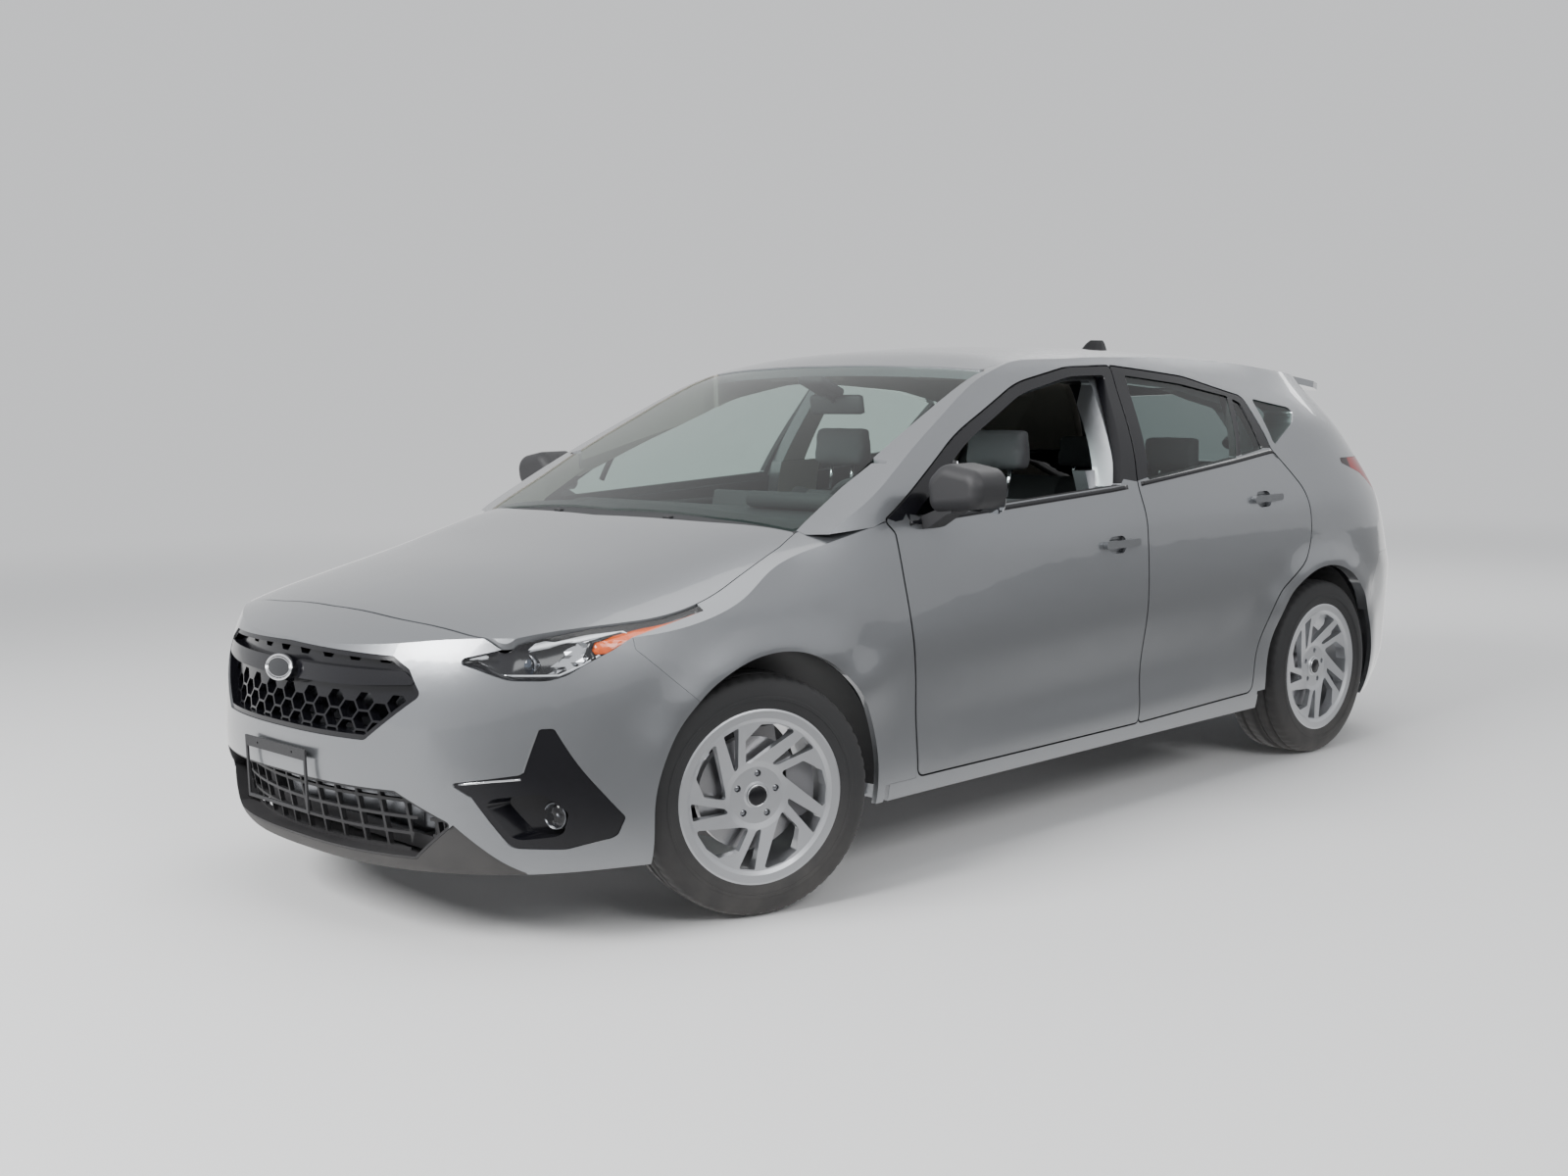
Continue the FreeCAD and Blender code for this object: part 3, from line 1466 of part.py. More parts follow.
# Front subframe with control arms, and the struts above the knuckles
cross = block(
    "front_cross",
    ("-430", f"{FRONT_AXLE} - 160", "floor_height - 20"),
    ("860", "250", "80 - seat_play"),
)
front_rail = block("front_rail", ("395", f"{FRONT_AXLE} - 720", "floor_height + 190"), ("62", "1086", "105"))
crash_bar = block("crash_bar", ("-457", f"{FRONT_AXLE} - 770", "floor_height + 185"), ("914", "56", "115"))
lower_tie = block(
    "radiator_tie_lower",
    ("-457", f"{FRONT_AXLE} - 716", "floor_height + 20"),
    ("914", "50", "40 - seat_play"),
)
upper_tie = block(
    "radiator_tie_upper",
    ("-457", f"{FRONT_AXLE} - 716", "floor_height + 460 + seat_play"),
    ("914", "50", "34"),
)
tie_post = block("radiator_post", ("405", f"{FRONT_AXLE} - 716", "floor_height + 20"), ("46", "50", "470"))
rail_post = block("rail_post", ("400", f"{FRONT_AXLE} - 40", "floor_height"), ("52", "110", "200"))
arm_points = [
    (380, front_axle - 70, 20),
    (wheel_x - d.kingpin_offset + 30, front_axle - 26, 20),
    (wheel_x - d.kingpin_offset + 30, front_axle + 26, 20),
    (470, front_axle + 60, 60),
    (450, front_axle + 330, 30),
    (380, front_axle + 330, 20),
]
arm = padded_outline("control_arm", "XY_Plane", arm_points, "22", (0, 0, "tyre_radius - 118 - 24"))
strut_x = f"{kingpin_x} - strut_inset"
strut_foot = block(
    "strut_foot",
    (f"{strut_x} - 30", f"{FRONT_AXLE} - 22", "tyre_radius + 120 + seat_play"),
    ("strut_inset + 58", "44", "24"),
)
strut = bar("strut", (strut_x, FRONT_AXLE, "tyre_radius + 122"), UPRIGHT, "25", "330")
spring = bar("spring", (strut_x, FRONT_AXLE, "tyre_radius + 324"), UPRIGHT, "58", "120")
strut_mount = bar("strut_mount", (strut_x, FRONT_AXLE, "tyre_radius + 440"), UPRIGHT, "78", "40")
tower = block("strut_tower", ("430", f"{FRONT_AXLE} - 90", "tyre_radius + 446"), ("270", "180", "26"))
apron = block("apron", ("430", f"{FRONT_AXLE} - 560", "floor_height + 280"), ("27", "926", "287"))
bracket_post = box(800, 1000, front(-40), front(40), 735, 1200).cut(plan_prism(hood_hole, 300, 1300, gap))
bracket_space = box(640, 1000, front(-40), front(40), 735, 775).fuse(bracket_post)
bracket_shape = bracket_space.common(hull(d.skin + d.seat_play)).cut(
    over_hood.translated(V(0, 0, -d.skin - d.seat_play))
)
fender_bracket = doc.addObject("Part::Feature", "fender_bracket")
fender_bracket.Shape = whole(bracket_shape)
front_side = fused(
    "front_side",
    [
        front_rail,
        rail_post,
        tie_post,
        arm,
        strut_foot,
        strut,
        spring,
        strut_mount,
        tower,
        apron,
        fender_bracket,
    ],
)
front_mirror = mirror_of("front_side_mirrored", front_side)
rack = bar("steering_rack", ("-430", f"{FRONT_AXLE} + 84", "floor_height + 39"), ALONG_X, "20", "860")
latch_y = nose + 216
latch_top = hood_top(0, latch_y - 12) - d.hood_thickness - d.seat_play
latch = doc.addObject("Part::Feature", "bonnet_latch")
latch.Shape = tube(V(0, latch_y, pan + 470), V(0, latch_y, latch_top), 12)
front_parts = [cross, crash_bar, lower_tie, upper_tie, front_side, front_mirror, rack, latch]
node("front_subframe", fused("front_structure", front_parts))

# Engine, a flat four lengthways behind the radiator, as one block
engine_points = [
    (-330, d.floor_height + 60, 30),
    (330, d.floor_height + 60, 30),
    (350, d.floor_height + 240, 40),
    (240, d.floor_height + 400, 60),
    (160, d.floor_height + 500, 40),
    (-160, d.floor_height + 500, 40),
    (-240, d.floor_height + 400, 60),
    (-350, d.floor_height + 240, 40),
]
engine = padded_outline("engine_form", "XZ_Plane", engine_points, "560", (0, "-body_length / 2 + 290", 0))
gearbox = bar("gearbox", (0, "-body_length / 2 + 840", "floor_height + 215"), ALONG_Y, "150", "420")
node("engine_block", fused("engine_and_gearbox", [engine, gearbox]))
node(
    "radiator",
    block("radiator_core", ("-345", "-body_length / 2 + 196", "floor_height + 60"), ("690", "34", "400")),
)

# Floor: bulkhead, floor pan with its tunnel, seat riser and load floor
sill_top = bumper_rear_top + 8 - d.seat_play
side_points = [
    (front(372), d.belt_front - 76, 0),
    (front(372), pan + 260, 40),
    (front(560), pan, 40),
    (rear(-850), pan, 40),
    (rear(-800), pan + 140, 30),
    (rear(-420), pan + 165, 30),
    (rear(-396), d.cargo_height - 24, 20),
    (rear(720), d.cargo_height - 24, 10),
    (rear(720), 300, 0),
    (rear(744), 300, 0),
    (rear(744), sill_top - 18, 10),
    (rear(808), sill_top - 18, 0),
    (rear(808), sill_top, 0),
    (rear(720), sill_top, 0),
    (rear(720), d.cargo_height, 0),
    (rear(-420), d.cargo_height, 20),
    (rear(-440), pan + 165 + 24, 30),
    (rear(-820), pan + 140 + 24, 30),
    (rear(-866), pan + 24, 40),
    (front(572), pan + 24, 40),
    (front(396), pan + 270, 40),
    (front(396), d.belt_front - 76, 0),
]
pan_sheet = padded_outline("pan_form", "YZ_Plane", side_points, "1280", ("-640", 0, 0))
tail_corner_points = [
    (430, rear(1000), 0),
    (430, rear(796), 0),
    (700, rear(640), 0),
    (700, rear(1000), 0),
]
tail_corner = padded_outline("pan_tail_corner", "XY_Plane", tail_corner_points, "900", (0, 0, 100))
tail_corners = with_mirror("pan_tail_corners", tail_corner)
pan_body = cut_from("pan_trimmed", pan_sheet, tail_corners)
wing_points = [
    (front(400), pan + 240, 0),
    (front(560), pan, 40),
    (rear(-850), pan, 40),
    (rear(-800), pan + 140, 30),
    (rear(-400), pan + 166, 0),
    (rear(-400), pan + 190, 0),
    (rear(-820), pan + 140 + 24, 30),
    (rear(-866), pan + 24, 40),
    (front(572), pan + 24, 40),
    (front(424), pan + 240, 0),
]
wing = padded_outline(
    "pan_wing",
    "YZ_Plane",
    wing_points,
    "body_width / 2 - 34 - ring_depth - ring_thickness - seat_play - 636",
    ("636", 0, 0),
)
tunnel_outer = block(
    "tunnel_outer",
    ("-120", f"{FRONT_AXLE} + 420", "floor_height"),
    ("240", "wheelbase - 1200", "150"),
)
tunnel_inner = block(
    "tunnel_inner",
    ("-98", f"{FRONT_AXLE} + 380", "floor_height - 5"),
    ("196", "wheelbase - 900", "130"),
)
board = block("load_board", ("-490", f"{REAR_AXLE} - 222", "cargo_height - 4"), ("980", "906", "10"))
pan_all = fused(
    "pan_with_tunnel",
    [pan_body, wing, mirror_of("pan_wing_mirrored", wing), tunnel_outer, board],
)
node("floor_pan", cut_from("floor_form", pan_all, tunnel_inner))

# Exhaust: pipe in the tunnel and a silencer behind the axle
pipe = bar("exhaust_pipe", (0, f"{FRONT_AXLE} + 116", "floor_height + 30"), ALONG_Y, "26", "wheelbase + 274")
down_pipe = bar("down_pipe", (0, f"{FRONT_AXLE} + 144", "floor_height + 30"), UPRIGHT, "26", "35 - seat_play")
silencer = bar("silencer", ("-380", f"{REAR_AXLE} + 470", "floor_height + 85"), ALONG_X, "95", "560")
inlet = bar("silencer_inlet", (0, f"{REAR_AXLE} + 380", "floor_height + 30"), ALONG_Y, "26", "100")
tail_pipe = bar("tail_pipe", ("-480", f"{REAR_AXLE} + 500", "floor_height + 60"), ALONG_Y, "28", "375")
tail_link = bar("tail_link", ("-485", f"{REAR_AXLE} + 500", "floor_height + 60"), ALONG_X, "26", "140")
node("exhaust", fused("exhaust_form", [pipe, down_pipe, silencer, inlet, tail_pipe, tail_link]))

# Rear subframe, links, dampers and knuckles
rear_cross = block("rear_cross", ("-480", f"{REAR_AXLE} - 60", "floor_height + 62"), ("960", "110", "90"))
link_front = block("link_front", ("440", f"{REAR_AXLE} - 46", "floor_height + 70"), ("260", "34", "34"))
link_rear = block("link_rear", ("440", f"{REAR_AXLE} + 30", "floor_height + 66"), ("260", "60", "26"))
trailing = block("trailing_arm", ("584", f"{REAR_AXLE} - 430", "floor_height + 40"), ("56", "400", "60"))
rear_upright = block(
    "rear_upright",
    ("track / 2 - 72", f"{REAR_AXLE} - 60", "floor_height + 20"),
    ("40", "120", "190"),
)
rear_hub = bar(
    "rear_hub",
    ("track / 2 - 60", REAR_AXLE, "tyre_radius"),
    ALONG_X,
    "58",
    "60 + mount_face - 40 - seat_play",
)
rear_damper = bar(
    "rear_damper",
    ("560", f"{REAR_AXLE} + 40", "floor_height + 80"),
    UPRIGHT,
    "27",
    "cargo_height - floor_height - 104 - seat_play",
)
damper_foot = block("damper_foot", ("520", f"{REAR_AXLE} + 10", "floor_height + 60"), ("80", "60", "34"))
rear_side = fused(
    "rear_side",
    [link_front, link_rear, trailing, rear_upright, rear_hub, rear_damper, damper_foot],
)
node(
    "rear_subframe",
    fused("rear_structure", [rear_cross, rear_side, mirror_of("rear_side_mirrored", rear_side)]),
)
tank = block(
    "tank_form",
    ("-440", f"{REAR_AXLE} - 776", "floor_height + 20"),
    ("880", "600", "120 - seat_play"),
)
tank_channel = block("tank_channel", ("-60", f"{REAR_AXLE} - 820", "floor_height + 10"), ("120", "700", "80"))
node("fuel_tank", cut_from("fuel_tank_form", tank, tank_channel))

# Arch liners
def liner(name, axle, low, high, thickness=4.0):
    outer = bar(name + "_outer", (low, axle, "tyre_radius"), ALONG_X, f"arch_radius + {thickness + 1}", high)
    inner = bar(
        name + "_inner",
        (f"{low} - 5", axle, "tyre_radius"),
        ALONG_X,
        "arch_radius + 1",
        f"{high} + 10",
    )
    shell = cut_from(name + "_shell", outer, inner)
    lower = block(
        name + "_lower",
        (f"{low} - 5", f"{axle} - arch_radius - 20", "-120"),
        ("500", "arch_radius * 2 + 40", "tyre_radius + 80"),
    )
    return cut_from(name, shell, lower)


front_liner = liner("front_liner", FRONT_AXLE, "457 + seat_play", "404")
strut_gap = bar("strut_gap", (strut_x, FRONT_AXLE, "tyre_radius + 200"), UPRIGHT, "66", "300")
front_liner_open = cut_from("front_liner_open", front_liner, strut_gap)
inside_skin = doc.addObject("Part::Feature", "inside_skin")
inside_skin.Shape = hull(d.skin + d.seat_play)
front_liner = doc.addObject("Part::Common", "front_liner_trimmed")
front_liner.Base = front_liner_open
front_liner.Tool = inside_skin
rear_liner = liner("rear_liner", REAR_AXLE, "640 + seat_play", "184")
wheelhouse = bar("wheelhouse", ("640 + seat_play", REAR_AXLE, "tyre_radius"), ALONG_X, "arch_radius + 5", "5")
wheelhouse_lower = block(
    "wheelhouse_lower",
    ("630", f"{REAR_AXLE} - 400", "-70"),
    ("20", "800", "tyre_radius + 170"),
)
rear_liner = fused(
    "rear_liner_closed",
    [rear_liner, cut_from("wheelhouse_wall", wheelhouse, wheelhouse_lower)],
)
liners = fused("liners_left", [front_liner, rear_liner])
node("arch_liners", with_mirror("liner_pair", liners))

# Dashboard and console
dash_points = [
    (front(396) + d.seat_play, d.belt_front - 90, 20),
    (front(420), d.belt_front - 2, 40),
    (front(560), d.belt_front + 22, 200),
    (front(690), d.belt_front - 10, 30),
    (front(720), d.belt_front - 90, 40),
    (front(660), d.belt_front - 250, 60),
    (front(640), d.belt_front - 380, 30),
    (front(520), d.belt_front - 380, 30),
]
dash = padded_outline("dash_form", "YZ_Plane", dash_points, "1340", ("-670", 0, 0))
console_points = [
    (front(480), pan + 160, 10),
    (front(480), d.belt_front - 300, 10),
    (front(650), d.belt_front - 300, 30),
    (front(760), d.belt_front - 440, 60),
    (front(1060), d.belt_front - 450, 40),
    (front(1080), d.belt_front - 380, 30),
    (front(1400), d.belt_front - 380, 30),
    (front(1420), pan + 160, 20),
]
console = padded_outline("console_form", "YZ_Plane", console_points, "220", ("-110", 0, 0))
wheel_at = ("seat_offset", f"{FRONT_AXLE} + 880", "belt_front - 84")
wheel_tilt = FreeCAD.Rotation(V(1, 0, 0), -68)
column_at = ("seat_offset", f"{FRONT_AXLE} + 880 - 240 * sin(68)", "belt_front - 84 - 240 * cos(68)")
column_bore = bar("column_bore", column_at, wheel_tilt, "36 + seat_play", "240")
node("dashboard", cut_from("dash_with_bore", fused("dash_and_console", [dash, console]), column_bore))
hoop_line = [
    (15 * math.cos(math.radians(a)), 182 + 15 * math.sin(math.radians(a)), 0)
    for a in range(18, 378, 36)
]
hoop = place(
    turned_outline("steering_hoop", hoop_line),
    wheel_at,
    wheel_tilt.multiply(FreeCAD.Rotation(V(0, 1, 0), 90)),
)
boss_at = ("seat_offset", f"{FRONT_AXLE} + 880 - 30 * sin(68)", "belt_front - 84 - 30 * cos(68)")
boss = bar("steering_boss", boss_at, wheel_tilt, "62", "40")
column = bar("steering_column", column_at, wheel_tilt, "36", "230")
spoke = bar(
    "steering_spoke",
    ("seat_offset - 180", f"{FRONT_AXLE} + 880", "belt_front - 84"),
    ALONG_X,
    "9",
    "360",
)
node("steering_wheel", fused("steering_form", [hoop, boss, column, spoke]))

# Seats
cushion_points = [
    (front(900), 372, 40),
    (front(905), 470, 60),
    (front(1360), 420, 60),
    (front(1400), 340, 40),
    (front(1300), 300, 40),
    (front(960), 300, 40),
]
backrest_points = [
    (front(1340), 400, 40),
    (front(1270), 470, 20),
    (front(1345), 720, 300),
    (front(1400), 1000, 60),
    (front(1470), 1020, 40),
    (front(1500), 880, 200),
    (front(1440), 400, 40),
]
headrest_points = [
    (front(1412), 1060, 40),
    (front(1432), 1210, 40),
    (front(1500), 1220, 40),
    (front(1510), 1060, 40),
]
seat_mount = [
    (front(960), pan + 24.3, 0),
    (front(960), 320, 0),
    (front(1360), 320, 0),
    (front(1360), pan + 24.3, 0),
]
seat_low = ("seat_offset - seat_width / 2", 0, 0)
cushion = padded_outline("seat_cushion", "YZ_Plane", cushion_points, "seat_width", seat_low)
backrest = padded_outline("seat_backrest", "YZ_Plane", backrest_points, "seat_width", seat_low)
headrest = padded_outline("seat_headrest", "YZ_Plane", headrest_points, "260", ("seat_offset - 130", 0, 0))
posts = block("seat_posts", ("seat_offset - 60", f"{FRONT_AXLE} + 1440", "980"), ("120", "14", "100"))
runners = padded_outline("seat_runners", "YZ_Plane", seat_mount, "380", ("seat_offset - 190", 0, 0))
seat = fused("seat_form", [cushion, backrest, headrest, posts, runners])
node("front_seats", with_mirror("seat_pair", seat))

bench_points = [
    (rear(-870), pan + 168, 30),
    (rear(-880), 500, 60),
    (rear(-470), 470, 60),
    (rear(-345), 1010, 60),
    (rear(-265), 1030, 40),
    (rear(-300), d.cargo_height + d.seat_play, 20),
    (rear(-424), d.cargo_height + d.seat_play, 0),
    (rear(-446), pan + 190 + d.seat_play, 20),
    (rear(-816), pan + 164 + d.seat_play, 0),
]
bench = padded_outline("bench_form", "YZ_Plane", bench_points, "1200", ("-600", 0, 0))
rest_points = [
    (rear(-330), 1000, 20),
    (rear(-310), 1160, 40),
    (rear(-240), 1160, 40),
    (rear(-250), 1000, 20),
]
rests = [
    padded_outline(
        f"bench_headrest_{i}",
        "YZ_Plane",
        rest_points,
        "240",
        (f"{x} - 120", 0, 0),
    ) for i, x in enumerate((-400, 0, 400))
]
node("rear_bench", fused("bench_with_rests", [bench] + rests))

# Door mirrors, on the front doors
mirror_y = front(640)
mirror_z = d.mirror_height
housing_line = [
    (half - 8, mirror_z - 62, 30),
    (half + 176, mirror_z - 46, 44),
    (half + 186, mirror_z + 52, 50),
    (half + 40, mirror_z + 76, 60),
    (half - 14, mirror_z + 30, 40),
]
housing = end_prism(housing_line, mirror_y - 82, mirror_y + 42)
front_rim = [e for e in housing.Edges if e.BoundBox.YMax < mirror_y - 81]
housing = housing.makeFillet(34, front_rim)
stalk_line = [
    (half - 90, mirror_z - 120, 0),
    (half - 60, mirror_z - 78, 10),
    (half + 20, mirror_z - 50, 10),
    (half + 90, mirror_z - 50, 10),
    (half + 40, mirror_z - 70, 20),
    (half - 20, mirror_z - 104, 10),
]
stalk = end_prism(stalk_line, mirror_y - 60, mirror_y + 10)
keep_pair("mirror", housing.fuse(stalk.cut(hull(-d.seat_play))))

doc.recompute()
failed = [o.Name for o in doc.Objects if "Invalid" in o.State or "Error" in o.State]
bad = [n for n, f in pieces.items() if f.Shape.isNull() or not f.Shape.isValid() or not f.Shape.Solids]
for name, feature in pieces.items():
    feature.Shape.tessellate(2.0)
    b = feature.Shape.BoundBox
    print(
        f"{name:26s} solids {len(feature.Shape.Solids)} volume {feature.Shape.Volume / 1e6:8.2f} l "
        f"x {b.XMin:7.0f} {b.XMax:7.0f} y {b.YMin:7.0f} {b.YMax:7.0f} z {b.ZMin:6.0f} {b.ZMax:6.0f}"
    )
if failed or bad:
    raise SystemExit(f"failed objects {failed}, bad shapes {bad}")
for name, feature in pieces.items():
    feature.Shape.exportStep(f"parts/{name}.step")
print(len(pieces), "pieces written")
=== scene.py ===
import math
import random

import bmesh
import bpy
from mathutils import Matrix, Vector
from mathutils.bvhtree import BVHTree
from mathutils.geometry import delaunay_2d_cdt


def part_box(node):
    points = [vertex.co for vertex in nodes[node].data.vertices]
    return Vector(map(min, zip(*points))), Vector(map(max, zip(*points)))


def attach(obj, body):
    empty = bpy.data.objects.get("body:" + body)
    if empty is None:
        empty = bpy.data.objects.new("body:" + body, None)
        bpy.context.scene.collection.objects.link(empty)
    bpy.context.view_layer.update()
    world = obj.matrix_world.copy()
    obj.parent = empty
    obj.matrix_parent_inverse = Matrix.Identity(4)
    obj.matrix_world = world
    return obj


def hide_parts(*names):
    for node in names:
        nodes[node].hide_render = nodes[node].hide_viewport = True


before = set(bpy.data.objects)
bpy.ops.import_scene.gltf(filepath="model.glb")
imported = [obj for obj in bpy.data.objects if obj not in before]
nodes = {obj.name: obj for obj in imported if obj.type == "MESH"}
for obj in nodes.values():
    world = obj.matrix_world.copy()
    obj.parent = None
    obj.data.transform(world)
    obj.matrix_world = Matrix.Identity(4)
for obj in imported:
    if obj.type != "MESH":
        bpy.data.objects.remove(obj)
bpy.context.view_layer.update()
random.seed(7)

# %% [markdown]
# Small helpers come first, because most trim is one of a few kinds. The simplest are a mesh from
# points and a rounded box. Bevels stay modifiers, so that a corner's radius is one number.
# %% Meshes and blocks
scene = bpy.context.scene


def mesh_piece(name, points, faces, material, smooth=True):
    """A mesh object from points and faces."""
    mesh = bpy.data.meshes.new(name)
    mesh.from_pydata([tuple(p) for p in points], [], faces)
    mesh.validate()
    mesh.update()
    piece = bpy.data.objects.new(name, mesh)
    scene.collection.objects.link(piece)
    mesh.materials.append(material)
    shape = bmesh.new()
    shape.from_mesh(mesh)
    bmesh.ops.recalc_face_normals(shape, faces=shape.faces)
    shape.to_mesh(mesh)
    shape.free()
    for polygon in mesh.polygons:
        polygon.use_smooth = smooth
    return piece


SHARP_ANGLE = math.radians(35)


def finish_mesh(piece, bevel=0.0, segments=2, thick=0.0):
    """Adds thickness and rounded edges as modifiers."""
    if thick:
        solid = piece.modifiers.new("thickness", "SOLIDIFY")
        solid.thickness = thick
        solid.offset = -1
    if bevel:
        edge = piece.modifiers.new("edges", "BEVEL")
        edge.width = bevel
        edge.segments = segments
        edge.limit_method = "ANGLE"
        edge.angle_limit = SHARP_ANGLE
    return piece


def block(name, centre, size, material, bevel=0.002, turn=None):
    """A rounded box; turn is a rotation matrix about its centre."""
    corners = [Vector((x, y, z)) for x in (-0.5, 0.5) for y in (-0.5, 0.5) for z in (-0.5, 0.5)]
    points = []
    for c in corners:
        p = Vector((c.x * size[0], c.y * size[1], c.z * size[2]))
        points.append((turn @ p if turn else p) + Vector(centre))
    faces = [(0, 1, 3, 2), (4, 6, 7, 5), (0, 4, 5, 1), (2, 3, 7, 6), (0, 2, 6, 4), (1, 5, 7, 3)]
    return finish_mesh(mesh_piece(name, points, faces, material), bevel)

# %% [markdown]
# Posts, stalks, wipers and door pulls are bars that follow a path, and nuts, caps and lamp rings
# are turned like parts from a lathe. Rings of points joined by faces make both, and the left
# side's parts are mirrored for the right.
# %% Bars, turned parts and mirror images


def turns(count):
    """Equal angles round a circle."""
    return [2 * math.pi * k / count for k in range(count)]


def bar(name, points, radius, material, sides=12, closed=False, flat=1.0):
    """A bar along a path, as a mesh; flat under 1 squashes its section."""
    path = [Vector(p) for p in points]
    n = len(path)
    rings = []
    up = Vector((0, 0, 1))
    for i, p in enumerate(path):
        a = path[(i - 1) % n] if closed or i > 0 else p
        b = path[(i + 1) % n] if closed or i < n - 1 else p
        way = (b - a).normalized()
        side = way.cross(up)
        side = side.normalized() if side.length > 1e-3 else Vector((1, 0, 0))
        over = side.cross(way).normalized()
        r = radius[i] if isinstance(radius, (list, tuple)) else radius
        rings.append([p + r * (math.cos(t) * side + flat * math.sin(t) * over) for t in turns(sides)])
    verts = [v for ring in rings for v in ring]
    faces = []
    for i in range(n if closed else n - 1):
        j = (i + 1) % n
        for k in range(sides):
            m = (k + 1) % sides
            faces.append((i * sides + k, i * sides + m, j * sides + m, j * sides + k))
    if not closed:
        faces.append(tuple(range(sides))[::-1])
        faces.append(tuple((n - 1) * sides + k for k in range(sides)))
    return mesh_piece(name, verts, faces, material)


def turned(name, profile, place, material, steps=64):
    """Turns a profile of (along, radius) about the X axis of the matrix place."""
    points, faces = [], []
    n = len(profile)
    for t in turns(steps):
        for along, radius in profile:
            points.append(place @ Vector((along, radius * math.cos(t), radius * math.sin(t))))
    for s in range(steps):
        q = (s + 1) % steps
        for i in range(n - 1):
            faces.append((s * n + i, s * n + i + 1, q * n + i + 1, q * n + i))
    return mesh_piece(name, points, faces, material)


def mirrored(piece, name):
    """The same piece on the car's other side."""
    twin = piece.copy()
    twin.data = piece.data.copy()
    twin.name = twin.data.name = name
    scene.collection.objects.link(twin)
    for v in twin.data.vertices:
        v.co.x = -v.co.x
    twin.data.flip_normals()
    return twin

# %% [markdown]
# Trim has to follow the curved skin. Drawing it flat and dropping each point along a ray onto the
# CAD surface keeps it at one height over the skin, however the panel curves.
# %% Rays onto the skin


def tree_of(*names):
    """A search tree of CAD nodes, for laying trim on them."""
    points, faces = [], []
    for name in names:
        mesh = nodes[name].data
        start = len(points)
        points += [v.co.copy() for v in mesh.vertices]
        faces += [tuple(start + i for i in p.vertices) for p in mesh.polygons]
    return BVHTree.FromPolygons(points, faces)


def onto(tree, point, way, lift=0.0, last=None):
    """Where a ray meets the skin, lifted a little off it; past its edge, the nearest point."""
    point, way = Vector(point), Vector(way)
    hit, normal, _, _ = tree.ray_cast(point, way)
    if hit is None and last is not None:
        hit, normal, _, _ = tree.find_nearest(point + way * (last - point).dot(way))
    if hit is None:
        return None
    if normal.dot(way) > 0:
        normal = -normal
    return hit + normal * lift

# %% [markdown]
# A drawn outline has few points. Before it is laid on the skin it gets enough of them to follow
# the curve, and its corners are rounded.
# %% Outlines


def subdivided(points, step, closed=False):
    """The path with a point at least every step."""
    path = [Vector(p) for p in points]
    if closed:
        path.append(path[0])
    out = []
    for a, b in zip(path, path[1:]):
        count = max(1, math.ceil((b - a).length / step))
        out += [a.lerp(b, k / count) for k in range(count)]
    if not closed:
        out.append(path[-1])
    return out


CORNER_STEPS = 4  # pieces that a rounded corner is drawn with


def rounded_path(points):
    """A closed outline of (a, b, radius) in its plane with curves at its corners."""
    out = []
    n = len(points)
    for i, (a, b, r) in enumerate(points):
        p = Vector((a, b))
        before, after = Vector(points[i - 1][:2]), Vector(points[(i + 1) % n][:2])
        u1, u2 = (before - p), (after - p)
        reach = min(r, u1.length * 0.48, u2.length * 0.48)
        s, e = p + u1.normalized() * reach, p + u2.normalized() * reach
        for k in range(CORNER_STEPS + 1):
            t = k / CORNER_STEPS
            out.append((1 - t) ** 2 * s + 2 * t * (1 - t) * p + t * t * e)
    return out

# %% [markdown]
# A strip is a thin band along a path, three points wide, such as the trim under a window. Three
# points a row let it bend across its width as well.
# %% Strips on the skin
STRIP_STEP = 0.018  # metres between the cross rows of a strip


def from_side(a, b):
    """The plane that trim on the left flank is drawn in, outside the car."""
    return Vector((1.4, a, b))


def strip(name, tree, path, width, way, material, lift=0.002, thick=0.003, place=from_side):
    """A strip of trim laid on the skin along a path of plane points (a, b)."""
    line = subdivided([(p[0], p[1], 0) for p in path], STRIP_STEP)
    n = len(line)
    points, faces = [], []
    last = {}
    for i, p in enumerate(line):
        a, b = line[max(i - 1, 0)], line[min(i + 1, n - 1)]
        along = (b - a).normalized()
        side = Vector((-along.y, along.x, 0))
        for k in (-1, 0, 1):
            q = p + side * k * width / 2
            hit = onto(tree, place(q.x, q.y), way, lift, last.get(k))
            last[k] = hit if hit is not None else last.get(k)
            points.append(hit if hit is not None else place(q.x, q.y))
    for i in range(n - 1):
        for k in (0, 1):
            faces.append((i * 3 + k, i * 3 + k + 1, i * 3 + k + 4, i * 3 + k + 3))
    piece = mesh_piece(name, points, faces, material)
    face_towards(piece, -Vector(way))
    return finish_mesh(piece, thick=thick)


def face_towards(piece, way):
    """Flips the mesh if most of it faces away from a direction."""
    total = sum((p.normal * p.area for p in piece.data.polygons), Vector())
    if total.dot(Vector(way)) < 0:
        piece.data.flip_normals()

# %% [markdown]
# A patch fills an outline, such as a reflector or a plate. A triangle net between its edge and an
# even lattice inside takes any outline, and has no long thin triangles to shade badly.
# %% Patches on the skin


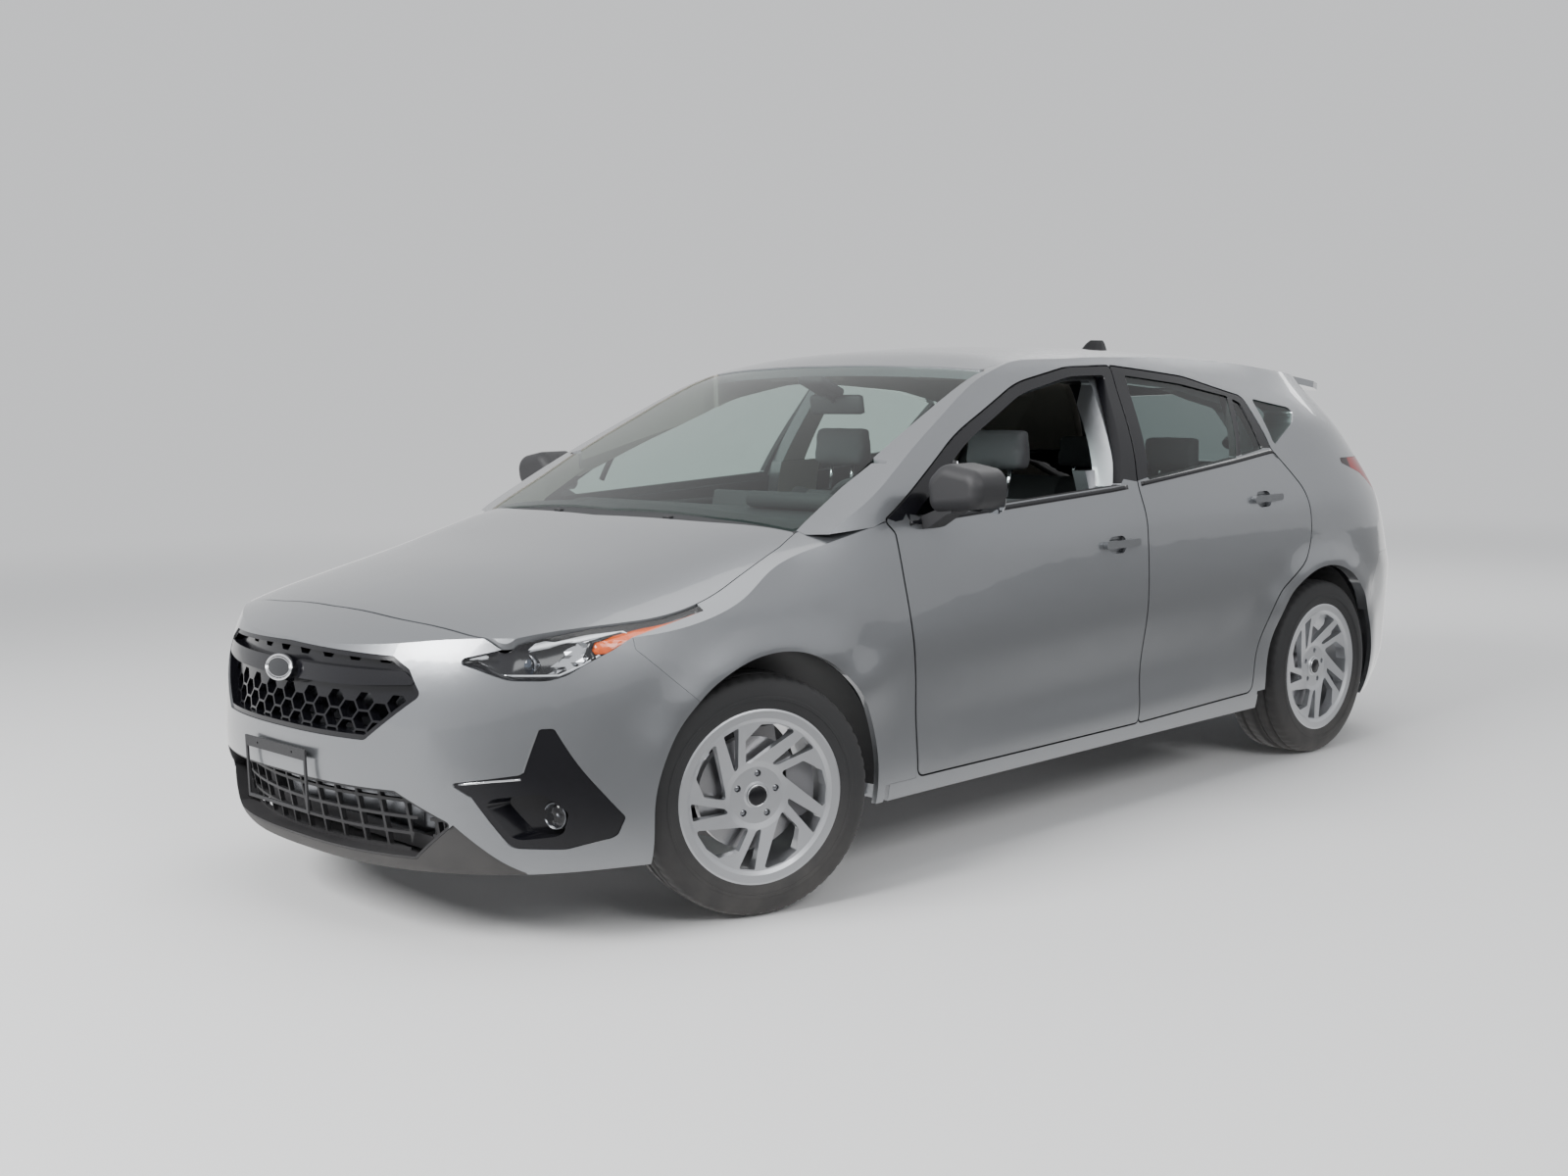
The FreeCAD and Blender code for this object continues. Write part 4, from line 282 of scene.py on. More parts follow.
def patch(name, tree, outline, way, material, lift, thick=0.0, step=0.025, place=from_side):
    """A filled patch laid on the skin inside an outline of plane points (a, b)."""
    edge = subdivided([(p[0], p[1], 0) for p in outline], step, True)
    flat = [Vector((p.x, p.y)) for p in edge]
    low = Vector((min(p.x for p in flat), min(p.y for p in flat)))
    high = Vector((max(p.x for p in flat), max(p.y for p in flat)))
    n = len(flat)

    def inside(p, margin):
        count = False
        for i in range(n):
            a, b = flat[i - 1], flat[i]
            if (a.y > p.y) != (b.y > p.y) and p.x < (b.x - a.x) * (p.y - a.y) / (b.y - a.y) + a.x:
                count = not count
        if not count:
            return False
        return min((p - q).length for q in flat) > margin

    inner = []
    rows, columns = int((high.y - low.y) / step) + 1, int((high.x - low.x) / step) + 1
    for r in range(rows):
        for c in range(columns):
            p = low + Vector(((c + 0.5 * (r % 2)) * step, r * step))
            if inside(p, step * 0.45):
                inner.append(p)
    result = delaunay_2d_cdt(
        flat + inner, [(i, (i + 1) % n) for i in range(n)], [list(range(n))], 1, 1e-5
    )
    found = [onto(tree, place(p.x, p.y), way, lift) for p in result[0]]
    known = [hit for hit in found if hit is not None]
    points = []
    for p, hit in zip(result[0], found):
        if hit is None:
            start = place(p.x, p.y)
            near = min(
                known, key=lambda k: (k - start - Vector(way) * (k - start).dot(Vector(way))).length
            )
            hit = onto(tree, start, way, lift, near)
        points.append(hit)
    piece = mesh_piece(name, points, [tuple(f) for f in result[2]], material)
    face_towards(piece, -Vector(way))
    return finish_mesh(piece, thick=thick) if thick else piece


# %% [markdown]
# Every surface is made by formula, with no pictures. Grain, paint flakes, cloth and road dust serve
# several materials, so each is a node group with a few sliders, and it only gives values or normals.
# %% Shader groups


def shader_group(name, inputs, outputs):
    """A node group with named sockets; returns the tree and its two end nodes."""
    tree = bpy.data.node_groups.new(name, "ShaderNodeTree")
    for label, kind, value in inputs:
        socket = tree.interface.new_socket(label, in_out="INPUT", socket_type=kind)
        if value is not None:
            socket.default_value = value
    for label, kind in outputs:
        tree.interface.new_socket(label, in_out="OUTPUT", socket_type=kind)
    return tree, tree.nodes.new("NodeGroupInput"), tree.nodes.new("NodeGroupOutput")


def node(tree, kind, links=(), **values):
    """A node with its constants set and its inputs linked."""
    made_node = tree.nodes.new(kind)
    for key, value in values.items():
        if key.startswith("in_"):
            made_node.inputs[key[3:].replace("_", " ")].default_value = value
        else:
            setattr(made_node, key, value)
    for source, target in links:
        tree.links.new(source, made_node.inputs[target])
    return made_node

# %% [markdown]
# Moulded plastic has a fine leather-like grain. A cell pattern times noise, used as the height of
# a bump, gives it at any size without a picture.
# %% Fine grain
FLOAT, VECTOR = "NodeSocketFloat", "NodeSocketVector"

grain, g_in, g_out = shader_group(
    "fine grain", [("Scale", FLOAT, 900.0), ("Strength", FLOAT, 0.2)],
    [("Normal", VECTOR), ("Mask", FLOAT)]
)
place = node(grain, "ShaderNodeTexCoord")
cells = node(
    grain, "ShaderNodeTexVoronoi",
    [(place.outputs["Object"], "Vector"), (g_in.outputs["Scale"], "Scale")]
)
fine = node(
    grain, "ShaderNodeTexNoise",
    [(place.outputs["Object"], "Vector"), (g_in.outputs["Scale"], "Scale")], in_Detail=3.0
)
both = node(
    grain, "ShaderNodeMath", [(cells.outputs["Distance"], 0), (fine.outputs[0], 1)],
    operation="MULTIPLY"
)
bump = node(
    grain, "ShaderNodeBump", [(g_in.outputs["Strength"], "Strength"), (both.outputs[0], "Height")],
    in_Distance=0.0006
)
grain.links.new(bump.outputs[0], g_out.inputs["Normal"])
grain.links.new(fine.outputs[0], g_out.inputs["Mask"])

# %% [markdown]
# Silver paint carries tiny metal flakes, each tilted its own way. Random cells tilt the surface's
# normal a little, so that the reflection breaks up as it does on the real paint.
# %% Paint flakes
flakes, f_in, f_out = shader_group(
    "paint flakes", [("Scale", FLOAT, 2600.0), ("Tilt", FLOAT, 0.08)],
    [("Normal", VECTOR), ("Sparkle", FLOAT)]
)
place = node(flakes, "ShaderNodeTexCoord")
cells = node(
    flakes, "ShaderNodeTexVoronoi",
    [(place.outputs["Object"], "Vector"), (f_in.outputs["Scale"], "Scale")]
)
centred = node(flakes, "ShaderNodeVectorMath", [(cells.outputs["Color"], 0)], operation="SUBTRACT")
centred.inputs[1].default_value = (0.5, 0.5, 0.5)
tilted = node(
    flakes, "ShaderNodeVectorMath", [(centred.outputs[0], 0), (f_in.outputs["Tilt"], "Scale")],
    operation="SCALE"
)
geometry = node(flakes, "ShaderNodeNewGeometry")
added = node(
    flakes, "ShaderNodeVectorMath", [(geometry.outputs["Normal"], 0), (tilted.outputs[0], 1)],
    operation="ADD"
)
unit = node(flakes, "ShaderNodeVectorMath", [(added.outputs[0], 0)], operation="NORMALIZE")
flakes.links.new(unit.outputs[0], f_out.inputs["Normal"])
flakes.links.new(cells.outputs["Color"], f_out.inputs["Sparkle"])

# %% [markdown]
# Dust gathers low down and in patches. Height above the ground times noise is the mask.
# %% Road dust
dust, d_in, d_out = shader_group(
    "road dust", [("Height", FLOAT, 0.35), ("Amount", FLOAT, 0.5)], [("Mask", FLOAT)]
)
geometry = node(dust, "ShaderNodeNewGeometry")
split = node(dust, "ShaderNodeSeparateXYZ", [(geometry.outputs["Position"], 0)])
low = node(
    dust, "ShaderNodeMapRange", [(split.outputs["Z"], "Value"), (d_in.outputs["Height"], "From Max")],
    in_To_Min=1.0, in_To_Max=0.0
)
place = node(dust, "ShaderNodeTexCoord")
patchy = node(
    dust, "ShaderNodeTexNoise", [(place.outputs["Object"], "Vector")], in_Scale=14.0, in_Detail=6.0
)
mixed = node(
    dust, "ShaderNodeMath", [(low.outputs[0], 0), (patchy.outputs[0], 1)], operation="MULTIPLY"
)
scaled = node(
    dust, "ShaderNodeMath", [(mixed.outputs[0], 0), (d_in.outputs["Amount"], 1)], operation="MULTIPLY",
    use_clamp=True
)
dust.links.new(scaled.outputs[0], d_out.inputs["Mask"])

# %% [markdown]
# Woven cloth is two sets of threads that cross. Two wave patterns at right angles, multiplied,
# give the little humps.
# %% Cloth weave
weave, w_in, w_out = shader_group(
    "cloth weave", [("Scale", FLOAT, 240.0), ("Depth", FLOAT, 0.5)],
    [("Normal", VECTOR), ("Mask", FLOAT)]
)
place = node(weave, "ShaderNodeTexCoord")
threads = []
for direction in ("X", "Z"):
    wave = node(
        weave, "ShaderNodeTexWave",
        [(place.outputs["Object"], "Vector"), (w_in.outputs["Scale"], "Scale")],
        bands_direction=direction
    )
    wave.inputs["Distortion"].default_value = 0.6
    threads.append(wave)
crossed = node(
    weave, "ShaderNodeMath", [(threads[0].outputs["Fac"], 0), (threads[1].outputs["Fac"], 1)],
    operation="MULTIPLY"
)
bump = node(
    weave, "ShaderNodeBump", [(w_in.outputs["Depth"], "Strength"), (crossed.outputs[0], "Height")],
    in_Distance=0.0008
)
weave.links.new(bump.outputs[0], w_out.inputs["Normal"])
weave.links.new(crossed.outputs[0], w_out.inputs["Mask"])
print("groups:", [g.name for g in bpy.data.node_groups])

# %% [markdown]
# Silver paint is a metal base of tiny tilted flakes under a clear coat. Glass passes most light
# and only mirrors at a glancing angle. Plastics, rubber and cloth differ in grain and roughness.
# %% Plain materials
DUST_COLOR = (0.23, 0.21, 0.19, 1)


def material(
    name, color, rough=0.5, metal=0.0, coat=0.0, detail=None, scale=None, strength=None, dusty=0.0,
    emit=0.0, mottle=0.0
):
    """A plain material; detail is the group for its grain, and dusty mixes road dust in low down."""
    made_material = bpy.data.materials.new(name)
    made_material.use_nodes = True
    tree = made_material.node_tree
    shader = tree.nodes["Principled BSDF"]
    shader.inputs["Base Color"].default_value = (*color, 1)
    shader.inputs["Roughness"].default_value = rough
    shader.inputs["Metallic"].default_value = metal
    shader.inputs["Coat Weight"].default_value = coat
    shader.inputs["Coat Roughness"].default_value = 0.03
    # On the amber and red reflectors this emission is a painted glow, not light of their own.
    if emit:
        shader.inputs["Emission Color"].default_value = (*color, 1)
        shader.inputs["Emission Strength"].default_value = emit
    if detail is not None:
        use = node(tree, "ShaderNodeGroup", node_tree=detail)
        if scale is not None:
            use.inputs["Scale"].default_value = scale
        if strength is not None:
            use.inputs[1].default_value = strength
        tree.links.new(use.outputs["Normal"], shader.inputs["Normal"])
        if mottle:
            spread = node(
                tree, "ShaderNodeMapRange", [(use.outputs[1], "Value")],
                in_To_Min=max(rough - mottle, 0.02), in_To_Max=rough + mottle
            )
            tree.links.new(spread.outputs[0], shader.inputs["Roughness"])
    if dusty:
        soil = node(tree, "ShaderNodeGroup", node_tree=dust)
        soil.inputs["Amount"].default_value = dusty
        mix = node(tree, "ShaderNodeMix", [(soil.outputs[0], "Factor")], data_type="RGBA")
        mix.inputs["A"].default_value = (*color, 1)
        mix.inputs["B"].default_value = DUST_COLOR
        tree.links.new(mix.outputs["Result"], shader.inputs["Base Color"])
    return made_material

# %% [markdown]
# Window glass is thin: light passes straight through, and only a glancing view mirrors. Mixing a
# clear and a glossy shader by the Fresnel factor gives that without the noise of refraction. Seen
# from its back face the factor is switched off, since the front has mirrored the light already.
# %% Clear materials
MIRROR_SHARE = 0.9  # how much of the mirrored light the glass gives back
GLASS_IOR = 1.5


def clear(name, tint):
    """Thin clear material: light passes, and the surface mirrors at a glancing angle."""
    made_material = bpy.data.materials.new(name)
    made_material.use_nodes = True
    tree = made_material.node_tree
    tree.nodes.remove(tree.nodes["Principled BSDF"])
    through = node(tree, "ShaderNodeBsdfTransparent")
    through.inputs["Color"].default_value = (*tint, 1)
    shine = node(tree, "ShaderNodeBsdfGlossy")
    shine.inputs["Roughness"].default_value = 0.0
    shine.inputs["Color"].default_value = (MIRROR_SHARE, MIRROR_SHARE, MIRROR_SHARE, 1)
    glance = node(tree, "ShaderNodeFresnel")
    glance.inputs["IOR"].default_value = GLASS_IOR
    geometry = node(tree, "ShaderNodeNewGeometry")
    outer = node(tree, "ShaderNodeMath", [(geometry.outputs["Backfacing"], 1)], operation="SUBTRACT")
    outer.inputs[0].default_value = 1.0
    once = node(
        tree, "ShaderNodeMath", [(glance.outputs[0], 0), (outer.outputs[0], 1)], operation="MULTIPLY"
    )
    mix = node(
        tree, "ShaderNodeMixShader",
        [(once.outputs[0], 0), (through.outputs[0], 1), (shine.outputs[0], 2)]
    )
    tree.links.new(mix.outputs[0], tree.nodes["Material Output"].inputs["Surface"])
    return made_material

# %% [markdown]
# Each finish of this car is one line: colour, roughness, metal, coat, its grain, and how dusty
# it gets.
# %% Finishes of this car
paint = material("silver paint", (0.27, 0.28, 0.295), 0.30, 0.85, 1.0, flakes, 2600.0, 0.10)
black_gloss = material("black gloss", (0.006, 0.006, 0.008), 0.16, 0.0, 0.0, grain, 60.0, 0.02)
black_grain = material(
    "black grained plastic", (0.022, 0.022, 0.024), 0.55, 0.0, 0.0, grain, 1100.0, 0.5, dusty=0.25,
    mottle=0.06
)
lip_plastic = material(
    "bumper plastic", (0.034, 0.033, 0.033), 0.6, 0.0, 0.0, grain, 900.0, 0.5, dusty=0.35, mottle=0.06
)
seal = material("rubber seal", (0.012, 0.012, 0.013), 0.62, 0.0, 0.0, grain, 600.0, 0.2)
rubber = material(
    "tyre rubber", (0.020, 0.020, 0.021), 0.72, 0.0, 0.0, grain, 500.0, 0.35, dusty=0.3, mottle=0.08
)
alloy = material("silver alloy", (0.50, 0.51, 0.53), 0.33, 0.75, 0.7, flakes, 3200.0, 0.06)
chrome = material("bright metal", (0.78, 0.79, 0.81), 0.08, 1.0, 0.0, grain, 40.0, 0.02)
dark_chrome = material("dark bright metal", (0.30, 0.31, 0.33), 0.16, 1.0, 0.0, grain, 60.0, 0.03)
steel = material(
    "chassis steel", (0.10, 0.10, 0.105), 0.5, 0.7, 0.0, grain, 260.0, 0.3, dusty=0.4, mottle=0.1
)
cast = material(
    "cast metal", (0.24, 0.24, 0.25), 0.6, 0.7, 0.0, grain, 320.0, 0.6, dusty=0.3, mottle=0.1
)
disc_metal = material("brake disc", (0.42, 0.42, 0.43), 0.3, 1.0, 0.0, grain, 700.0, 0.25, mottle=0.08)
cabin = material(
    "cabin plastic", (0.030, 0.030, 0.033), 0.62, 0.0, 0.0, grain, 1300.0, 0.5, mottle=0.05
)
cabin_trim = material("cabin trim", (0.16, 0.165, 0.17), 0.4, 0.3, 0.0, grain, 500.0, 0.1)
beige = material("beige lining", (0.46, 0.43, 0.38), 0.85, 0.0, 0.0, weave, 420.0, 0.25)
cloth = material("seat cloth", (0.085, 0.086, 0.092), 0.92, 0.0, 0.0, weave, 260.0, 0.6)
cloth_side = material("seat bolster cloth", (0.040, 0.040, 0.044), 0.9, 0.0, 0.0, weave, 320.0, 0.5)
carpet = material("carpet", (0.035, 0.035, 0.038), 0.95, 0.0, 0.0, grain, 700.0, 1.0)
screen_glass = material("display", (0.006, 0.007, 0.009), 0.08, 0.0, 0.4, grain, 40.0, 0.01)
mirror_glass = material("mirror", (0.80, 0.82, 0.84), 0.02, 1.0, 0.0, grain, 10.0, 0.0)
guide = material("light guide", (0.86, 0.88, 0.90), 0.22, 0.0, 0.6, grain, 90.0, 0.05, emit=0.25)
# The amber reflector glows faintly: a painted glow, since a reflector gives no light.
amber = material("amber reflector with painted glow", (0.80, 0.11, 0.006), 0.18, 0.0, 0.5, grain, 160.0, 0.5, emit=0.04)
# The red plastic, seen on the rear reflectors, glows faintly: a painted glow, since a reflector gives
# no light.
red = material("red lamp body", (0.42, 0.012, 0.018), 0.2, 0.0, 0.8, grain, 160.0, 0.4, emit=0.05)
glass = clear("window glass", (0.80, 0.86, 0.84))
dark_glass = clear("rear window glass", (0.42, 0.46, 0.46))
lens = clear("lamp lens", (0.95, 0.96, 0.97))
red_lens = clear("red lens", (0.62, 0.05, 0.06))
projector_glass = clear("projector glass", (0.55, 0.60, 0.68))
print(len(bpy.data.materials), "materials")

# %% [markdown]
# The window glass, panels, chassis and trim of the frame take those materials. Faces that are
# black on the real car, such as the window frames over the belt, get a second slot of their own.
# %% Materials on the frame's pieces


def paint_node(name, *wanted):
    """Puts materials in a CAD node's slots; faces keep the first until told otherwise."""
    mesh = nodes[name].data
    mesh.materials.clear()
    for m in wanted:
        mesh.materials.append(m)


def faces_to(name, slot, test):
    """Gives the faces that pass a test the slot of that number."""
    for polygon in nodes[name].data.polygons:
        if test(polygon.center, polygon.normal):
            polygon.material_index = slot


paint_nodes = [
    n for n in nodes
    if n.startswith(
        ("side_frame", "fender", "door_front_", "door_rear_", "hood", "tailgate", "bumper", "roof")
    )
]
for name in nodes:
    paint_node(name, steel)
for name in paint_nodes:
    paint_node(name, paint, black_gloss, cabin, beige, seal)
BLACK, INNER, LINING, RUBBER_EDGE = 1, 2, 3, 4  # those slots' numbers after the paint
for name in (
    "windscreen", "door_glass_front_right", "door_glass_rear_left", "door_glass_rear_right",
    "quarter_glass"
):
    paint_node(name, glass)
paint_node("tailgate_glass", dark_glass)
for name, wanted in {
    "grille_upper": (black_gloss,), "grille_lower": (black_grain,),
    "fog_lamp_surrounds": (black_gloss,), "cowl": (black_grain,), "mirror_left": (black_grain,),
    "mirror_right": (black_grain,), "arch_liners": (black_grain,), "front_lip": (lip_plastic,),
    "plate_bracket": (black_grain,), "fuel_tank": (black_grain,), "dashboard": (cabin, cabin_trim),
    "steering_wheel": (cabin,), "front_seats": (cloth,), "rear_bench": (cloth,),
    "floor_pan": (carpet, steel), "engine_block": (cast,), "knuckle_left": (cast,),
    "knuckle_right": (cast,), "radiator": (dark_chrome,), "headlamps": (black_gloss,),
    "tail_lamps": (red,), "exhaust": (dark_chrome,),
}.items():
    paint_node(name, *wanted)
for name in nodes:
    if name.startswith("rim_"):
        paint_node(name, alloy)
    if name.startswith("tyre_"):
        paint_node(name, rubber)
    if name.startswith("disc_"):
        paint_node(name, disc_metal)

# %% [markdown]
# Above the belt the doors are black, and inside they are lined. Those faces are found by where
# they lie and which way they look, so no face is listed by number.
# %% Black and lined faces
# Knots (y, z) of the line where the side glass meets the doors
BELT = [
    (-1.3325, 0.913), (-1.0925, 0.951), (-0.8805, 0.979), (0.144, 1.0269), (0.8436, 1.0854),
    (1.1115, 1.112), (1.3375, 1.1386)
]


def belt(y):
    """Height of the lower edge of the side glass."""
    for (y0, z0), (y1, z1) in zip(BELT, BELT[1:]):
        if y <= y1:
            return z0 + (z1 - z0) * max(y - y0, 0.0) / (y1 - y0)
    return BELT[-1][1]


SIDES = (("left", 1), ("right", -1))
BELT_TRIM = 0.012  # metres over the belt where the window frame's black begins
WAIST = 0.9  # height where the light upper lining begins inside
FIN_Z, FIN_FRONT, FIN_BACK = 1.462, 1.0, 1.2  # the aerial fin stands over this, between these
for side, sign in SIDES:
    for door in ("door_front", "door_rear"):
        name = f"{door}_{side}"
        faces_to(name, BLACK, lambda c, n: c.z > belt(c.y) + BELT_TRIM and n.x * sign > 0.1)
        faces_to(name, INNER, lambda c, n: n.x * sign < -0.35)
        faces_to(name, RUBBER_EDGE, lambda c, n: abs(n.x) <= 0.1 and c.z > belt(c.y))
    name = f"side_frame_{side}"
    faces_to(name, LINING, lambda c, n: n.x * sign < -0.3 and c.z > WAIST)
    faces_to(name, INNER, lambda c, n: n.x * sign < -0.3 and c.z <= WAIST)
faces_to("roof_panel", LINING, lambda c, n: n.z < -0.2)
faces_to("roof_panel", BLACK, lambda c, n: c.z > FIN_Z and FIN_FRONT < c.y < FIN_BACK)
faces_to("tailgate", INNER, lambda c, n: n.y < -0.2)
faces_to("hood", BLACK, lambda c, n: n.z < -0.2)
faces_to("floor_pan", 1, lambda c, n: n.z < -0.2)  # its second slot is bare steel
print({n: len(nodes[n].data.materials) for n in ("hood", "door_front_left", "roof_panel")})

# %% [markdown]
# A road tyre is a band of rubber blocks: three straight channels drain water lengthwise, and short
# cuts in the shoulder let the rubber flex. Here a section is turned, and its depth changes by step.
# %% Wheels: tread, sidewall, nuts and caps
TYRE_R, TYRE_HALF = 0.316, 0.1000  # metres
AXLE_F, AXLE_R = -1.3325, 1.3375
STEER = 16  # degrees that the front wheels are turned at rest
KINGPIN_X, STUB, TRACK_REAR = 0.70, 0.07, 0.770
NUT_CIRCLE, NUT_COUNT, NUT_TURN = 0.05715, 5, 84.5
TREAD_STEPS, PITCH = 220, 4  # steps round the tyre, and steps from one shoulder cut to the next
SHOULDER_CUT, SIPE_CUT, SKEW = 0.0035, 0.002, 0.012
# Half of the tyre's section, (along the axle, radius), from the inner bead over the tread
tyre_section = [
    (-0.090, 0.2225), (-0.098, 0.2290), (-0.1015, 0.2360), (-0.1050, 0.2480), (-0.1075, 0.2620),
    (-0.1070, 0.2740), (-0.1045, 0.2860), (-0.1010, 0.2960), (-0.0965, 0.3040), (-0.0900, 0.3095),
    (-0.0780, 0.3125), (-0.0660, 0.3140), (-0.0600, 0.3145), (-0.0590, 0.3085), (-0.0500, 0.3085),
    (-0.0490, 0.3150), (-0.0200, 0.3158), (-0.0110, 0.3158), (-0.0100, 0.3090), (0.0100, 0.3090),
    (0.0110, 0.3158),
]
tyre_section += [(-a, r) for a, r in reversed(tyre_section[:18])]

# %% [markdown]
# The front wheels are parked turned, so each wheel gets a frame of its own with X outboard. The
# tyre is turned about it, and the nuts and caps are placed in it.
# %% Wheel places and tyres


def wheel_place(joint_name, turn_deg):
    """The frame of a wheel at rest: its centre, with X outboard."""
    out, back = STUB * math.cos(math.radians(STEER)), STUB * math.sin(math.radians(STEER))
    centre = {
        "front_left": (KINGPIN_X + out, AXLE_F - back, TYRE_R),
        "front_right": (-KINGPIN_X - out, AXLE_F + back, TYRE_R),
        "rear_left": (TRACK_REAR, AXLE_R, TYRE_R), "rear_right": (-TRACK_REAR, AXLE_R, TYRE_R)
    }[joint_name]
    return Matrix.Translation(centre) @ Matrix.Rotation(math.radians(turn_deg), 4, "Z")


def tyre(name, place):
    """A tyre with shoulder blocks: every fourth step, the shoulder is cut down to the groove."""
    points, faces = [], []
    n = len(tyre_section)
    for s, t in enumerate(turns(TREAD_STEPS)):
        for along, radius in tyre_section:
            r = radius
            if s % PITCH == 0 and radius > 0.3090 and abs(along) > 0.0600:
                r = radius - SHOULDER_CUT
            if s % PITCH == 2 and 0.015 < abs(along) < 0.0495 and radius > 0.3125:
                r = radius - SIPE_CUT
            skew = SKEW * math.copysign(1, along) * min(abs(along) / TYRE_HALF, 1.0)
            points.append(place @ Vector((along, r * math.cos(t + skew), r * math.sin(t + skew))))
    for s in range(TREAD_STEPS):
        q = (s + 1) % TREAD_STEPS
        for i in range(n):
            j = (i + 1) % n
            faces.append((s * n + i, s * n + j, q * n + j, q * n + i))
    return mesh_piece(name, points, faces, rubber)


def hexagon_nut(name, place, radius, y, z, x0, x1):
    """A wheel nut with a domed end, in its seat."""
    profile = [
        (x0, radius), (x1 - 0.004, radius), (x1 - 0.0015, radius * 0.82), (x1, radius * 0.45),
        (x1, 0.0001)
    ]
    local = place @ Matrix.Translation((0, y, z))
    piece = turned(name, profile, local, dark_chrome, steps=6)
    return finish_mesh(piece, 0.0008, 1)

# %% [markdown]
# All four wheels are alike: tread, two rings of ribs on the sidewalls, five nuts in their seats,
# a cap with a bright ring and a valve. A loop dresses them, and each piece rides on its wheel.
# %% Four dressed wheels
wheels = {"front_left": -STEER, "front_right": 180 - STEER, "rear_left": 0, "rear_right": 180}
for where, turn in wheels.items():
    body = f"wheel_{where}"
    place = wheel_place(where, turn)
    piece = tyre(f"tread_{where}", place)
    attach(piece, body)
    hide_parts(f"tyre_{where}")
    for side in (1, -1):
        rib = turned(
            f"sidewall_ribs_{where}_{'out' if side > 0 else 'in'}",
            [
                (side * 0.1065, 0.2530), (side * 0.1083, 0.2540), (side * 0.1083, 0.2560),
                (side * 0.1078, 0.2575), (side * 0.1088, 0.2590), (side * 0.1088, 0.2620),
                (side * 0.1078, 0.2640)
            ], place, rubber, 120
        )
        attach(rib, body)
    for k in range(NUT_COUNT):
        angle = math.radians(NUT_TURN + 360 / NUT_COUNT * k)
        y, z = NUT_CIRCLE * math.cos(angle), NUT_CIRCLE * math.sin(angle)
        nut = hexagon_nut(f"nut_{where}_{k}", place, 0.0088, y, z, 0.048, 0.066)
        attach(nut, body)
    cap = turned(
        f"cap_{where}",
        [(0.060, 0.0290), (0.0735, 0.0290), (0.0755, 0.0275), (0.0775, 0.0200), (0.0780, 0.0001)],
        place, black_gloss, 40
    )
    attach(cap, body)
    ring = turned(
        f"cap_ring_{where}", [(0.0752, 0.0292), (0.0768, 0.0290), (0.0775, 0.0275), (0.0768, 0.0262)],
        place, chrome, 40
    )
    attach(ring, body)
    valve = bar(
        f"valve_{where}", [place @ Vector((0.052, 0.0, -0.205)), place @ Vector((0.082, 0.0, -0.196))],
        0.0035, seal, 8
    )
    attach(valve, body)

# %% [markdown]
# A headlamp is a dark bowl behind a clear cover, with a projector, a faceted reflector, a light
# blade and an amber wedge. The cover keeps the shape of the CAD lamp, which the pieces stand for.
# %% Lamps


def copy_faces(names, test, new_name, material, flip=False):
    """A new piece from those faces of CAD nodes that pass a test."""
    points, faces = [], []
    for name in names:
        mesh = nodes[name].data
        used = {}
        for p in mesh.polygons:
            if test(p.center, p.normal):
                faces.append([used.setdefault(v, len(points) + len(used)) for v in p.vertices])
        points += [mesh.vertices[v].co.copy() for v in used]
    mesh = bpy.data.meshes.new(new_name)
    mesh.from_pydata([tuple(p) for p in points], [], faces)
    mesh.update()
    if flip:
        mesh.flip_normals()
    piece = bpy.data.objects.new(new_name, mesh)
    scene.collection.objects.link(piece)
    mesh.materials.append(material)
    for polygon in mesh.polygons:
        polygon.use_smooth = True
    shape = bmesh.new()
    shape.from_mesh(mesh)
    bmesh.ops.remove_doubles(shape, verts=shape.verts, dist=1e-5)
    shape.to_mesh(mesh)
    shape.free()
    return piece


FRONT = (0, 1, 0)


def from_front(a, b):
    """The plane ahead of the nose that front trim is drawn in."""
    return Vector((a, -2.6, b))


def lens_face(c, n):
    """Whether a face of the CAD lamp belongs to its clear cover."""
    return n.y < -0.1 and abs(n.z) > 0.01


cover = copy_faces(["headlamps"], lens_face, "headlamp_covers", lens)
bowl = copy_faces(["headlamps"], lambda c, n: not lens_face(c, n), "headlamp_bowls", black_gloss, True)
for piece in (cover, bowl):
    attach(piece, "body")
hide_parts("headlamps")
lens_tree = BVHTree.FromPolygons(
    [v.co.copy() for v in cover.data.vertices], [tuple(p.vertices) for p in cover.data.polygons]
)


def lamp_patch(name, outline, material, depth, step=0.012):
    """A patch that lies at a depth behind the left headlamp's cover."""
    piece = patch(name, lens_tree, outline, FRONT, material, -depth, step=step, place=from_front)
    return finish_mesh(piece, thick=0.003)


def on_both_sides(*pieces_of_left, body="body"):
    """Rides the left pieces and their mirror images on a body."""
    for piece in pieces_of_left:
        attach(piece, body)
        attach(mirrored(piece, piece.name.replace("_left", "_right")), body)

# %% [markdown]
# The lamp's inner parts are flat shapes at different depths: a back plate, the light blade with
# its edge, a lower line, the amber wedge and a faceted reflector. Each is a patch behind the cover.
# %% Inside the headlamp
back_plate = lamp_patch(
    "lamp_back_left",
    [(0.600, 0.707), (0.700, 0.745), (0.765, 0.770), (0.768, 0.706), (0.733, 0.680), (0.662, 0.683)],
    black_gloss, 0.060
)
blade = lamp_patch(
    "lamp_blade_left",
    [
        (0.562, 0.7255), (0.578, 0.7335), (0.640, 0.7485), (0.705, 0.7705), (0.790, 0.8110),
        (0.788, 0.8030), (0.752, 0.7780), (0.705, 0.7550), (0.640, 0.7380), (0.580, 0.7265)
    ], guide, 0.012
)
blade_edge = lamp_patch(
    "lamp_blade_edge_left",
    [
        (0.640, 0.7380), (0.705, 0.7550), (0.752, 0.7780), (0.752, 0.7735), (0.705, 0.7505),
        (0.640, 0.7335), (0.590, 0.7245), (0.590, 0.7285)
    ], chrome, 0.014
)
